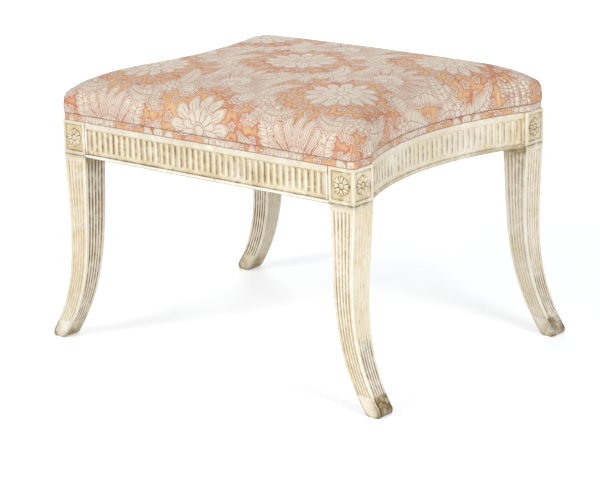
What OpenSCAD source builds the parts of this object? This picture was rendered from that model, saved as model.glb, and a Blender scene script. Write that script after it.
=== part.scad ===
// Painted stool with four sabre legs, fluted rails, concave ends and a domed stuffed seat.
// The origin is on the floor under the middle of the frame, +Z is up, and X runs along the straight rails.

/* [Frame] */
// Width across the corner blocks
frame_w = 610; // [540:1:760]
// Depth across the corner blocks
frame_d = 511; // [440:1:640]
// Height of the show wood's top edge above the floor
frame_h = 384; // [310:1:470]
// How far each end rail curves in at its middle
end_curve = 46; // [34:1:58]

/* [Legs] */
// Side of the square corner block at the head of a leg
block_w = 48.5; // [40:0.5:58]
// Height of the corner block above its groove
block_h = 56; // [48:0.5:68]
// How far each foot stands out past its block, along X
foot_sweep = 53; // [40:1:64]
// How far each leg first leans in, along X
leg_lean = 8.5; // [6:0.5:11]
// How far each foot stands out past its block, along Y
foot_flare = 2.5; // [0:0.5:6]
// Size of the foot along X
foot_w = 33.5; // [27:0.5:40]
// Size of the foot along Y
foot_d = 33.5; // [28:0.5:40]
// Radius of the rounded front edge of each foot's sole
toe_round = 4; // [3:0.5:5]
// Radius of the rounded back edge of each foot's sole
heel_round = 14; // [11:0.5:17]
// Height of the plain toe below the flutes
toe_h = 32; // [24:1:42]
// Height of the plain neck between the block's groove and the flutes
neck_h = 12; // [9:0.5:15]
// Depth of a leg's flutes
leg_flute_depth = 1.8; // [1:0.1:2.4]
// Depth of the groove under the corner block
groove_depth = 1.2; // [0.8:0.1:1.6]
// Height of the groove under the corner block
groove_h = 1.6; // [1.2:0.1:2]

/* [Rails] */
// Height of a rail's show face
rail_h = 59.5; // [52:0.5:70]
// Thickness of a rail
rail_t = 24; // [21:0.5:30]
// How far a straight rail's show face lies behind the corner blocks
rail_setback = 0.4; // [0.3:0.1:0.6]
// How far an end rail's show face lies behind the corner block where they meet
end_setback = 4; // [3:0.1:5]
// Height of the bead along a rail's lower edge
bead_h = 6.5; // [5:0.5:8]
// Height of the plain fillet along a rail's upper edge
fillet_h = 9.5; // [8:0.5:11]
// How far the fluted frieze lies behind the bead and fillet
frieze_sink = 2; // [1.5:0.1:2.5]
// Width of the upright fillet at each end of a rail's frieze
end_fillet_w = 5; // [4:0.5:6]
// Plain band between the bead and the flutes
flute_foot = 6; // [4:0.5:8]
// Spacing of a rail's flutes
flute_pitch = 12.4; // [10.5:0.1:15]
// Width of a rail's flute
flute_w = 7.6; // [6:0.1:9.5]
// Depth of a rail's flute
flute_depth = 2.2; // [1.5:0.1:2.8]

/* [Rosettes] */
// Width of the plain border round a block's sunk panel
panel_border = 5; // [4:0.5:6]
// Depth of a block's sunk panel
panel_sink = 1.6; // [1.2:0.1:2]
// Diameter of a rosette
rosette_d = 30; // [24:0.5:36]
// Height of a rosette's petals above the panel's floor
rosette_h = 3; // [2:0.1:3.6]

/* [Joinery] */
// Thickness of a rail's tenon
tenon_t = 10; // [8:0.5:12]
// Height of a rail's tenon
tenon_h = 38; // [30:0.5:46]
// Length of a rail's tenon
tenon_l = 20; // [16:0.5:24]
// Clearance between glued or fitted wooden faces
fit_gap = 0.15; // [0.1:0.05:0.3]
// Reach of a corner brace along each rail, from the corner block
brace_reach = 60; // [48:1:72]
// Height of a corner brace
brace_h = 40; // [32:0.5:50]
// Diameter of a brace screw's shank
screw_d = 4.5; // [3.5:0.1:5.5]
// Diameter of a brace screw's head
screw_head_d = 9; // [7.5:0.1:11]
// Height of a brace screw's head
screw_head_h = 3; // [2.4:0.1:3.6]
// Length of a brace screw
screw_l = 25; // [20:0.5:30]

/* [Webbing and tacks] */
// Width of a webbing strap
web_w = 50; // [42:1:60]
// Thickness of a webbing strap
web_t = 1; // [0.8:0.05:1.2]
// Distance from a straight side of the frame to the middle of the nearest strap along X
long_web_edge = 115; // [95:1:137]
// Distance from an end of the frame to the middle of the nearest strap along Y
cross_web_edge = 129; // [107:1:154]
// Distance from the frame's edge to a strap's end
web_margin = 7; // [6:0.5:8.5]
// Diameter of a tack's head
tack_head_d = 7; // [5.5:0.1:8.5]
// Height of a tack's head
tack_head_h = 0.8; // [0.6:0.05:1]
// Diameter of a tack's shank
tack_d = 1.8; // [1.4:0.1:2.2]
// Length of a tack's shank
tack_l = 11; // [9:0.5:13.5]

/* [Seat] */
// Height of the tacking ledge above the show wood
ledge_h = 12; // [10:0.5:14.5]
// How far the tacking ledge lies behind the frame's edge
ledge_sink = 2.6; // [2.4:0.1:3.2]
// Thickness of the seat cover
cover_t = 1.2; // [0.9:0.05:1.4]
// Thickness of the band along the cover's lower edge
band_t = 1; // [0.8:0.05:1.2]
// Height of the seat's upright side above the show wood
wall_h = 41; // [36:0.5:50]
// Rise of the rounded shoulder above the upright side
shoulder_rise = 36; // [28:0.5:44]
// Width of the rounded shoulder at the concave ends
end_shoulder_w = 62; // [50:1:76]
// Width of the rounded shoulder along the straight sides
side_shoulder_w = 118; // [95:1:142]
// Extra height of the crown at the seat's middle
crown_h = 10; // [6:0.5:14]
// Radius of the seat's corners in plan
corner_r = 13; // [10:0.5:18]
// How far the seat's upright side swells past the frame
side_swell = 1.2; // [0.8:0.1:1.6]
// Thickness of the hessian
hessian_t = 0.6; // [0.5:0.05:0.8]
// Thickness of the dust cover
dust_t = 0.5; // [0.4:0.05:0.7]
// Distance from the frame's edge to the dust cover's edge
dust_margin = 8; // [6.5:0.5:10]
// Spacing of the dust cover's tacks
dust_tack_pitch = 62; // [50:1:75]
// Clearance between soft pieces and what they lie on
soft_gap = 0.2; // [0.15:0.05:0.3]

/* [Hidden] */
over = 2; // overrun of every cut
round_sides = 240; // sides of the large circles that the end rails follow
half_w = frame_w/2;
half_d = frame_d/2;
block_in_x = half_w - block_w; // inner X face of a corner block
block_in_y = half_d - block_w; // inner Y face of a corner block
shaft_h = frame_h - block_h; // height of the groove under the block
ledge_top = frame_h + ledge_h;
rail_bottom = frame_h - rail_h;
rail_top = rail_h + ledge_h; // a rail's full height, in its own section
// The end rails follow one circle, whose centre lies outside the frame on the X axis
end_r = (block_in_y*block_in_y + end_curve*end_curve)/(2*end_curve);
end_c = half_w - end_setback - end_curve + end_r;

CORNERS = [["front_left", -1, -1], ["front_right", 1, -1], ["back_right", 1, 1], ["back_left", -1, 1]];
SIDES = ["front", "right", "back", "left"];
long_webs = 4;
cross_webs = 5;

paint = [0.92, 0.88, 0.76];
bare_wood = [0.72, 0.55, 0.36];
damask = [0.86, 0.72, 0.60];
linen = [0.80, 0.72, 0.56];
iron = [0.35, 0.34, 0.33];

// Calls its child at one corner, from the model at the +X +Y corner
module at_corner(c) {
    mirror([c[1] < 0 ? 1 : 0, 0, 0]) mirror([0, c[2] < 0 ? 1 : 0, 0]) children();
}

// Legs

// Height at share s of the shaft, from 0 at the groove to 1 on the floor
function shaft_z(s) = shaft_h*(1 - s);
// Outer and inner X of the shaft: it leans in, then sweeps out with the fourth power of s
function outer_x(s) = half_w + foot_sweep*pow(s, 4) - leg_lean*sin(180*pow(s, 1.25));
function shaft_w(s) = foot_w + (block_w - foot_w)*pow(1 - s, 2.6);
function inner_x(s) = outer_x(s) - shaft_w(s);
// Outer and inner Y of the shaft: it stays nearly upright and tapers from inside
function outer_y(s) = half_d + foot_flare*pow(s, 4);
function shaft_d(s) = foot_d + (block_w - foot_d)*pow(1 - s*s, 2);
function inner_y(s) = outer_y(s) - shaft_d(s);

shaft_steps = 14;
shaft_shares = [for (i = [0:shaft_steps]) i/shaft_steps];
flute_top_share = (neck_h + block_w*0.05)/shaft_h;
flute_end_share = 1 - toe_h/shaft_h;
flute_shares = concat([flute_top_share],
    [for (s = shaft_shares) if (s > flute_top_share && s < flute_end_share) s], [flute_end_share]);
leg_flutes = 5;
leg_flute_share = 0.098; // a flute's width as a share of the face
leg_pitch_share = 0.158; // the flutes' spacing as a share of the face

function reversed(list) = [for (i = [len(list) - 1:-1:0]) list[i]];

// The arc that rounds an outline's corner p to radius r, on the way from the point before it to the one after
round_steps = 5;
function unit(v) = v/norm(v);
function rounded(p, before, after, r) = let (
        u = unit(before - p),
        v = unit(after - p),
        half = acos(u*v)/2,
        mid = p + unit(u + v)*r/sin(half),
        a = unit(p + u*r/tan(half) - mid),
        b = unit(p + v*r/tan(half) - mid),
        turn = 180 - 2*half)
    [for (i = [0:round_steps]) let (t = turn*i/round_steps) mid + r*(a*sin(turn - t) + b*sin(t))/sin(turn)];

// Extrudes an outline drawn in X and Z along Y, or one drawn in Y and Z along X, across the whole leg
module along_y() {
    translate([0, half_d + foot_flare + over, 0]) rotate([90, 0, 0])
        linear_extrude(block_w + foot_flare + 2*over) children();
}
module along_x() {
    translate([half_w - block_w - leg_lean - over, 0, 0]) rotate([90, 0, 90])
        linear_extrude(block_w + leg_lean + foot_sweep + 2*over) children();
}

// The strips that a face's flutes cover, seen square to the face, with a round end at each end
module flute_strips(mid, wide) {
    for (k = [0:leg_flutes - 1]) {
        c = (k - (leg_flutes - 1)/2)*leg_pitch_share;
        r = leg_flute_share/2;
        polygon(concat(
            [for (s = flute_shares) [mid(s) + (c - r)*wide(s), shaft_z(s)]],
            [for (s = reversed(flute_shares)) [mid(s) + (c + r)*wide(s), shaft_z(s)]]));
        for (s = [flute_top_share, flute_end_share])
            translate([mid(s) + c*wide(s), shaft_z(s)]) circle(r*wide(s), $fn = 16);
    }
}

// The slice of depth d under a face: face gives its place, and side is 1 on an outer face, -1 on an inner one
module face_band(face, side, d) {
    polygon(concat(
        [for (s = shaft_shares) [face(s) - side*d, shaft_z(s)]],
        [for (s = reversed(shaft_shares)) [face(s) + side*over, shaft_z(s)]]));
}

// The shaft runs up into the block. Its sole lies on the floor between two rounded edges.
function root(place) = [place, shaft_h + over];
module leg_shaft() {
    above_foot = [for (s = shaft_shares) if (s < 1) s];
    ankle_share = above_foot[len(above_foot) - 1];
    toe = [outer_x(1), 0];
    heel = [inner_x(1), 0];
    mid_x = function(s) (outer_x(s) + inner_x(s))/2;
    mid_y = function(s) (outer_y(s) + inner_y(s))/2;
    wide_x = function(s) shaft_w(s);
    wide_y = function(s) shaft_d(s);
    difference() {
        intersection() {
            along_y() polygon(concat(
                [root(outer_x(0))],
                [for (s = above_foot) [outer_x(s), shaft_z(s)]],
                rounded(toe, [outer_x(ankle_share), shaft_z(ankle_share)], heel, toe_round),
                rounded(heel, toe, [inner_x(ankle_share), shaft_z(ankle_share)], heel_round),
                [for (s = reversed(above_foot)) [inner_x(s), shaft_z(s)]],
                [root(inner_x(0))]));
            along_x() polygon(concat(
                [root(outer_y(0))],
                [for (s = shaft_shares) [outer_y(s), shaft_z(s)]],
                [for (s = reversed(shaft_shares)) [inner_y(s), shaft_z(s)]],
                [root(inner_y(0))]));
        }
        for (f = [[function(s) outer_y(s), 1], [function(s) inner_y(s), -1]])
            intersection() {
                along_y() flute_strips(mid_x, wide_x);
                along_x() face_band(f[0], f[1], leg_flute_depth);
            }
        for (f = [[function(s) outer_x(s), 1], [function(s) inner_x(s), -1]])
            intersection() {
                along_x() flute_strips(mid_y, wide_y);
                along_y() face_band(f[0], f[1], leg_flute_depth);
            }
    }
}

// The ledge's outline in plan, at a distance inside the frame's edge
module frame_outline(inset) {
    difference() {
        square([frame_w - 2*inset, frame_d - 2*inset], center = true);
        for (x = [-end_c, end_c])
            translate([x, 0]) circle(end_r + inset, $fn = round_sides);
    }
}

module leg_block() {
    panel_w = block_w - 2*panel_border;
    panel_h = block_h - 2*panel_border;
    difference() {
        union() {
            translate([block_in_x, block_in_y, shaft_h]) cube([block_w, block_w, block_h]);
            translate([0, 0, shaft_h]) linear_extrude(block_h + ledge_h) intersection() {
                translate([block_in_x, block_in_y]) square(block_w);
                frame_outline(ledge_sink);
            }
        }
        // Sunk panels on the two outer faces
        translate([half_w - block_w/2 - panel_w/2, half_d - panel_sink, shaft_h + panel_border])
            cube([panel_w, panel_sink + over, panel_h]);
        translate([half_w - panel_sink, half_d - block_w/2 - panel_w/2, shaft_h + panel_border])
            cube([panel_sink + over, panel_w, panel_h]);
    }
}

module leg() {
    color(paint) difference() {
        union() {
            leg_shaft();
            leg_block();
        }
        // Groove round the head of the shaft
        difference() {
            translate([block_in_x - over, block_in_y - over, shaft_h - groove_h])
                cube([block_w + 2*over, block_w + 2*over, groove_h]);
            translate([block_in_x + groove_depth, block_in_y + groove_depth, shaft_h - groove_h - over])
                cube([block_w - 2*groove_depth, block_w - 2*groove_depth, groove_h + 2*over]);
        }
        side_tenon(fit_gap);
        end_tenon(fit_gap);
    }
}

// Rails

// A rail's section with its frieze sunk to a depth. The first value is the distance out from the inner face,
// and the second is the height.
bead_steps = 6;
frieze_top = rail_h - fillet_h;
frieze_step = frieze_sink*0.8; // height of the slope from the frieze out to the fillet
function rail_section(setback, sink) = let (
        back = rail_t - sink,
        edge = rail_t - bead_h/3,
        ledge = rail_t - ledge_sink + setback) concat(
    [[0, 0]],
    [for (i = [0:bead_steps]) let (a = -90 + 180*i/bead_steps)
        [edge + bead_h/3*cos(a), bead_h/2 + bead_h/2*sin(a)]],
    [[back, bead_h], [back, frieze_top - frieze_step], [rail_t, frieze_top], [rail_t, rail_h],
     [ledge, rail_h], [ledge, rail_top], [0, rail_top]]);

// One stopped flute, standing on its floor at the origin and open towards +Z
flute_h = frieze_top - frieze_step - bead_h - flute_foot*1.1;
module flute_cut() {
    body = flute_h - flute_w;
    linear_extrude(flute_depth + over) union() {
        square([flute_w, body], center = true);
        for (y = [-body/2, body/2]) translate([0, y]) circle(flute_w/2, $fn = 20);
    }
}
flute_mid = rail_bottom + bead_h + flute_foot + flute_h/2;
// Number of flutes in a length, with a plain stop at both ends
function flute_count(length) = floor((length - flute_w - flute_foot)/flute_pitch) + 1;

tenon_z = rail_bottom + (rail_h - tenon_h)/2;
side_rail_y = half_d - rail_setback; // show face of a straight rail
end_in_r = end_r + rail_t;
function arc_x(r, y) = end_c - sqrt(r*r - y*y); // X at Y on a circle of radius r round the end's centre
end_tenon_x = (arc_x(end_r, block_in_y) + arc_x(end_in_r, block_in_y))/2;

// Tenons at the +X +Y corner: a straight rail's and an end rail's, grown by a clearance for the mortise
module side_tenon(gap) {
    translate([block_in_x - over, side_rail_y - rail_t/2 - tenon_t/2 - gap, tenon_z - gap])
        cube([tenon_l + over + gap*2, tenon_t + 2*gap, tenon_h + 2*gap]);
}
module end_tenon(gap) {
    translate([end_tenon_x - tenon_t/2 - gap, block_in_y - over, tenon_z - gap])
        cube([tenon_t + 2*gap, tenon_l + over + gap*2, tenon_h + 2*gap]);
}

// The straight rail at +Y, made of lengths of its section that start at an X
module side_length(start, length, sink) {
    translate([start, side_rail_y - rail_t, rail_bottom]) rotate([90, 0, 90])
        linear_extrude(length) polygon(rail_section(rail_setback, sink));
}
module side_rail() {
    span = 2*(block_in_x - fit_gap);
    count = flute_count(span - 2*end_fillet_w);
    color(paint) difference() {
        union() {
            side_length(-span/2, span, frieze_sink);
            for (m = [0, 1]) mirror([m, 0, 0]) {
                side_length(span/2 - end_fillet_w, end_fillet_w, 0);
                side_tenon(0);
            }
        }
        for (i = [0:count - 1])
            translate([(i - (count - 1)/2)*flute_pitch, side_rail_y - frieze_sink - flute_depth, flute_mid])
                rotate([-90, 0, 0]) flute_cut();
        for (k = [1:cross_webs]) web_tack_holes(cross_tacks(k));
        dust_tack_holes(side_dust_tacks);
        for (m = [0, 1]) mirror([m, 0, 0]) side_screw(fit_gap/2, 0);
    }
}

// The concave rail at +X, turned a little too long and then cut square, between two places along Y
end_half_angle = asin(block_in_y/end_r);
module end_length(start, length, sink) {
    sweep = 1.05*end_half_angle;
    intersection() {
        translate([end_c, 0, rail_bottom]) rotate([0, 0, 180 - sweep])
            rotate_extrude(angle = 2*sweep, $fn = round_sides)
                polygon([for (p = rail_section(0, sink)) [end_in_r - p[0], p[1]]]);
        translate([0, start, 0]) cube([frame_w, length, ledge_top + over]);
    }
}
module end_rail() {
    span = 2*(block_in_y - fit_gap);
    face_r = end_r + frieze_sink;
    count = flute_count(2*end_half_angle*PI/180*face_r - 2*end_fillet_w);
    turn = flute_pitch/face_r*180/PI;
    color(paint) difference() {
        union() {
            end_length(-span/2, span, frieze_sink);
            for (m = [0, 1]) mirror([0, m, 0]) {
                end_length(span/2 - end_fillet_w, end_fillet_w, 0);
                end_tenon(0);
            }
        }
        for (i = [0:count - 1])
            translate([end_c, 0, flute_mid]) rotate([0, 0, 180 + (i - (count - 1)/2)*turn])
                translate([face_r + flute_depth, 0, 0]) rotate([90, 0, -90]) flute_cut();
        for (k = [1:long_webs]) web_tack_holes(long_tacks(k));
        dust_tack_holes(end_dust_tacks);
        for (m = [0, 1]) mirror([0, m, 0]) end_screw(fit_gap/2, 0);
    }
}

// Rosettes

petals = 8;
module rosette() {
    r = rosette_d/2;
    color(paint) {
        cylinder(h = rosette_h*0.4, r = r, $fn = 48);
        for (i = [0:petals - 1])
            rotate(360*i/petals) translate([r*0.6, 0, 0])
                cylinder(h = rosette_h*0.85, r1 = r*0.3, r2 = r*0.22, $fn = 20);
        cylinder(h = rosette_h, r1 = r*0.34, r2 = r*0.24, $fn = 24);
    }
}
module side_rosette() {
    translate([half_w - block_w/2, half_d - panel_sink, shaft_h + block_h/2]) rotate([-90, 0, 0]) rosette();
}
module end_rosette() {
    translate([half_w - panel_sink, half_d - block_w/2, shaft_h + block_h/2]) rotate([0, 90, 0]) rosette();
}

// Corner braces

side_in_y = side_rail_y - rail_t; // inner face of a straight rail
brace_x = block_in_x - brace_reach;
brace_y = block_in_y - brace_reach;
brace_end_x = arc_x(end_in_r, brace_y);
brace_z = rail_bottom + (rail_h - brace_h)/2;
screw_back = (screw_l - screw_d)*0.6; // from a rail's inner face back to the screw's head
side_screw_x = brace_x + brace_reach*0.3;
end_screw_y = brace_y + brace_reach*0.3;

module corner_brace() {
    color(bare_wood) difference() {
        translate([0, 0, brace_z]) linear_extrude(brace_h) difference() {
            polygon([[brace_x, side_in_y - fit_gap], [half_w, side_in_y - fit_gap], [half_w, brace_y],
                     [brace_end_x, brace_y]]);
            translate([end_c, 0]) circle(end_in_r + fit_gap, $fn = round_sides);
            translate([block_in_x - fit_gap, block_in_y - fit_gap]) square(block_w);
        }
        side_screw(fit_gap, brace_reach);
        end_screw(fit_gap, brace_reach);
    }
}

// The two screws of the +X +Y corner's brace, grown by a clearance, with the heads' holes run out by deep
module side_screw(gap, deep) {
    translate([side_screw_x, side_in_y - screw_back, brace_z + brace_h/2]) rotate([-90, 0, 0])
        screw(gap, deep);
}
module end_screw(gap, deep) {
    translate([arc_x(end_in_r, end_screw_y) - screw_back, end_screw_y, brace_z + brace_h/2])
        rotate([0, 90, 0]) screw(gap, deep);
}

// A screw whose head's underside is at the origin and whose point is towards +Z
module screw(gap, deep) {
    r = screw_d/2 + gap;
    tip = screw_d;
    cylinder(h = screw_l - tip, r = r, $fn = 24);
    translate([0, 0, screw_l - tip]) cylinder(h = tip + gap, r1 = r, r2 = screw_d*0.1, $fn = 24);
    translate([0, 0, -screw_head_h - deep])
        cylinder(h = screw_head_h + deep + gap, r = screw_head_d/2 + gap, $fn = 32);
}
module brace_screws() {
    color(iron) for (c = CORNERS) at_corner(c) {
        side_screw(0, 0);
        end_screw(0, 0);
    }
}

// Seat base: webbing, tacks and hessian

// The seat's outline in plan at a distance inside the frame's edge: points of one quarter, then of all four
arc_steps = 4;
corner_steps = 3;
side_steps = 4;
function quarter(inset) = let (
        r = end_r + inset,
        w = half_w - inset,
        d = half_d - inset,
        cr = max(corner_r - inset, corner_r/2),
        meet = sqrt(r*r - pow(end_c - w, 2))) concat(
    [for (i = [0:arc_steps]) let (y = meet*i/arc_steps) [arc_x(r, y), y]],
    [for (i = [0:corner_steps]) let (a = 90*i/corner_steps) [w - cr + cr*cos(a), d - cr + cr*sin(a)]],
    [for (i = [1:side_steps]) [(w - cr)*(1 - i/side_steps), d]]);
function outline(inset) = let (q = quarter(inset), n = len(q)) concat(
    q,
    [for (i = [n - 2:-1:0]) [-q[i][0], q[i][1]]],
    [for (i = [1:n - 1]) [-q[i][0], -q[i][1]]],
    [for (i = [n - 2:-1:1]) [q[i][0], -q[i][1]]]);

web_step = web_t + soft_gap; // how far a strap rises to pass over another
hessian_z = ledge_top + web_step + web_t + soft_gap;
stuffing_z = hessian_z + hessian_t + soft_gap;

// A strap that lies flat on the ledge for a distance at both ends. crossings lists the middles of the straps
// that it crosses, and high is 1 where it passes over the first of them.
module strap(length, seat, crossings, high) {
    flat = web_w/2 + web_w*0.06;
    path = concat([[-length/2, 0], [seat - length/2, 0]],
        [for (i = [0:len(crossings) - 1]) for (e = [-flat, flat]) [crossings[i] + e, (i + high)%2*web_step]],
        [[length/2 - seat, 0], [length/2, 0]]);
    rotate([90, 0, 0]) translate([0, 0, -web_w/2]) linear_extrude(web_w)
        polygon(concat(path, [for (p = reversed(path)) [p[0], p[1] + web_t]]));
}
function spread(i, count, reach) = reach*(2*(i - 1)/(count - 1) - 1);
function long_y(i) = spread(i, long_webs, half_d - long_web_edge);
function cross_x(i) = spread(i, cross_webs, half_w - cross_web_edge);

// Places of the tacks: on the ledge at a strap's +X or +Y end, and under the rails at +Y and +X
tack_row = rail_t*0.54; // from the frame's edge to a row of tacks
strap_tacks = 3;
function tack_spread(i) = (i - (strap_tacks - 1)/2)*web_w*0.32;
function long_tacks(k) = [for (i = [0:strap_tacks - 1]) let (y = long_y(k) + tack_spread(i))
    [arc_x(end_r + tack_row, y), y]];
function cross_tacks(k) = [for (i = [0:strap_tacks - 1]) [cross_x(k) + tack_spread(i), half_d - tack_row]];
side_tacks = floor(2*block_in_x/dust_tack_pitch);
end_tacks = floor(2*block_in_y/dust_tack_pitch);
side_dust_tacks = [for (i = [1:side_tacks]) [(i - (side_tacks + 1)/2)*dust_tack_pitch, half_d - tack_row]];
end_dust_tacks = [for (i = [1:end_tacks]) let (y = (i - (end_tacks + 1)/2)*dust_tack_pitch)
    [arc_x(end_r + tack_row, y), y]];

// A tack with its head's underside at the origin and its point towards +Z
module tack(gap) {
    tip = tack_d;
    cylinder(h = tack_l - tip, r = tack_d/2 + gap, $fn = 16);
    translate([0, 0, tack_l - tip]) cylinder(h = tip + gap, r1 = tack_d/2 + gap, r2 = tack_d*0.15, $fn = 16);
}
module headed_tack() {
    tack(0);
    translate([0, 0, -tack_head_h])
        cylinder(h = tack_head_h, r1 = tack_head_d*0.36, r2 = tack_head_d/2, $fn = 20);
}
tack_gap = soft_gap/4;
module on_ledge(places) {
    for (p = places) translate([p[0], p[1], ledge_top + web_t]) mirror([0, 0, 1]) children();
}
module under_rails(places) {
    for (p = places) translate([p[0], p[1], rail_bottom - dust_t]) children();
}
module web_tack_holes(places) {
    on_ledge(places) tack(tack_gap);
}
module dust_tack_holes(places) {
    under_rails(places) tack(tack_gap);
}

module webbing_long(i) {
    color(linen) difference() {
        intersection() {
            translate([0, long_y(i), ledge_top])
                strap(frame_w, end_setback + end_curve + rail_t, [for (k = [1:cross_webs]) cross_x(k)], i%2);
            translate([0, 0, ledge_top - over]) linear_extrude(ledge_h + over) polygon(outline(web_margin));
        }
        for (m = [0, 1]) mirror([m, 0, 0]) web_tack_holes(long_tacks(i));
    }
}
module webbing_cross(i) {
    color(linen) difference() {
        translate([cross_x(i), 0, ledge_top]) rotate([0, 0, 90])
            strap(frame_d - 2*web_margin, rail_setback + rail_t - web_margin,
                [for (k = [1:long_webs]) long_y(k)], (i + 1)%2);
        for (m = [0, 1]) mirror([0, m, 0]) web_tack_holes(cross_tacks(i));
    }
}
module webbing_tacks() {
    color(iron) {
        for (m = [0, 1]) mirror([m, 0, 0]) for (k = [1:long_webs]) on_ledge(long_tacks(k)) headed_tack();
        for (m = [0, 1]) mirror([0, m, 0]) for (k = [1:cross_webs]) on_ledge(cross_tacks(k)) headed_tack();
    }
}
module dust_cover_tacks() {
    color(iron) {
        for (m = [0, 1]) mirror([m, 0, 0]) under_rails(end_dust_tacks) headed_tack();
        for (m = [0, 1]) mirror([0, m, 0]) under_rails(side_dust_tacks) headed_tack();
    }
}

module hessian() {
    color(linen) translate([0, 0, hessian_z]) linear_extrude(hessian_t)
        polygon(outline(ledge_sink + cover_t));
}

module dust_cover() {
    color(linen) difference() {
        translate([0, 0, rail_bottom - dust_t]) linear_extrude(dust_t) difference() {
            polygon(outline(dust_margin));
            for (x = [-1, 1]) for (y = [-1, 1])
                translate([x*half_w, y*half_d]) square(2*(block_w + fit_gap), center = true);
        }
        for (m = [0, 1]) mirror([m, 0, 0]) dust_tack_holes(end_dust_tacks);
        for (m = [0, 1]) mirror([0, m, 0]) dust_tack_holes(side_dust_tacks);
    }
}

// Stuffed seat

// Height of the seat's upper face over a point in plan, for a form at a distance inside the cover's face
function round_up(share) = sqrt(max(0, 1 - pow(1 - min(share, 1), 2)));
function seat_z(x, y, inset) = let (
        ex = min(half_w - inset - abs(x), sqrt(pow(end_c - abs(x), 2) + y*y) - end_r - inset),
        ey = half_d - inset - abs(y),
        dome = max(0, 1 - pow(x/half_w, 2))*max(0, 1 - pow(y/half_d, 2)))
    frame_h + wall_h - inset + crown_h*dome
    + shoulder_rise*round_up(max(0, ex)/end_shoulder_w)*round_up(max(0, ey)/side_shoulder_w);

// Rings of a seat form from its upright side to just short of the middle, as shares of the outline
ring_shares = [1, 0.985, 0.95, 0.89, 0.79, 0.62, 0.4, 0.2];
function dome_ring(share, inset) = [for (p = outline(inset)) let (x = p[0]*share, y = p[1]*share)
    [x, y, share == 1 ? frame_h + wall_h - inset : seat_z(x, y, inset)]];
function flat_ring(inset, z) = [for (p = outline(inset)) [p[0], p[1], z]];
function dome_rings(inset) = [for (s = ring_shares) dome_ring(s, inset)];
function middle(inset) = [0, 0, seat_z(0, 0, inset)];

// Joins rings of equal count into faces, each pair of rings by two triangles a step
function skin(rings, n, start) = [for (k = [0:rings - 2]) for (i = [0:n - 1]) let (
        a = start + k*n + i, b = start + k*n + (i + 1)%n) each [[a, a + n, b], [b, a + n, b + n]]];
function fan(first, n, tip) = [for (i = [0:n - 1]) [first + i, tip, first + (i + 1)%n]];
function flipped(faces) = [for (f = faces) [f[2], f[1], f[0]]];
function joined(lists) = [for (l = lists) each l];

// The cover's side: insets and heights from its lower edge up to the shoulder
function cover_side(inset) = [
    flat_ring(ledge_sink - soft_gap - cover_t + inset, frame_h + soft_gap),
    flat_ring(ledge_sink - soft_gap - cover_t + inset, ledge_top + soft_gap),
    flat_ring(inset - side_swell/2, stuffing_z - soft_gap),
    flat_ring(inset - side_swell, frame_h + wall_h*0.62)];

module seat_cover() {
    outer = concat(cover_side(0), dome_rings(0));
    inner = concat(cover_side(cover_t), dome_rings(cover_t));
    n = len(outer[0]);
    rings = len(outer);
    points = concat(joined(outer), [middle(0)], joined(inner), [middle(cover_t)]);
    inner_first = rings*n + 1;
    color(damask) polyhedron(points, concat(
        skin(rings, n, 0),
        fan((rings - 1)*n, n, rings*n),
        flipped(skin(rings, n, inner_first)),
        flipped(fan(inner_first + (rings - 1)*n, n, inner_first + rings*n)),
        [for (i = [0:n - 1]) let (j = (i + 1)%n)
            each [[i, j, inner_first + i], [j, inner_first + j, inner_first + i]]]));
}

split_z = frame_h + wall_h - side_swell*3; // where the two stuffings meet
module first_stuffing() {
    color(linen) translate([0, 0, stuffing_z]) linear_extrude(split_z - soft_gap - stuffing_z)
        polygon(outline(cover_t + soft_gap));
}

module top_stuffing() {
    inset = cover_t + soft_gap;
    rings = concat([flat_ring(inset, split_z)], dome_rings(inset));
    n = len(rings[0]);
    last = len(rings)*n;
    color(linen) polyhedron(concat(joined(rings), [middle(inset), [0, 0, split_z]]), concat(
        skin(len(rings), n, 0),
        fan(last - n, n, last),
        flipped(fan(0, n, last + 1))));
}

// The band along the cover's lower edge, cut by a mitre at each corner: the length at +Y, or at +X
band_gap = soft_gap/2;
module cover_band(at_x) {
    inner = ledge_sink - soft_gap - cover_t - band_gap;
    near = min(half_w, half_d);
    far = block_w;
    mitre = [half_w - near, half_d - near];
    color(damask) translate([0, 0, frame_h + soft_gap]) linear_extrude(ledge_h) intersection() {
        difference() {
            polygon(outline(inner - band_t));
            polygon(outline(inner));
        }
        polygon([[half_w + far, half_d + far], mitre,
                 at_x ? [mitre[0], -mitre[1]] : [-mitre[0], mitre[1]],
                 at_x ? [half_w + far, -half_d - far] : [-half_w - far, half_d + far]]);
    }
}

for (c = CORNERS) {
    at_corner(c) leg();
    at_corner(c) side_rosette();
    at_corner(c) end_rosette();
    at_corner(c) corner_brace();
}
mirror([0, 1, 0]) side_rail();  // rail_front
end_rail();  // rail_right
side_rail();  // rail_back
mirror([1, 0, 0]) end_rail();  // rail_left
brace_screws();
for (i = [1:long_webs])
    webbing_long(i);
for (i = [1:cross_webs])
    webbing_cross(i);
webbing_tacks();
hessian();
first_stuffing();
top_stuffing();
seat_cover();
mirror([0, 1, 0]) cover_band(false);  // cover_band_front
cover_band(true);  // cover_band_right
cover_band(false);  // cover_band_back
mirror([1, 0, 0]) cover_band(true);  // cover_band_left
dust_cover();
dust_cover_tacks();
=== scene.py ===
import math

import bpy
import numpy as np
from mathutils import Matrix


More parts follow.
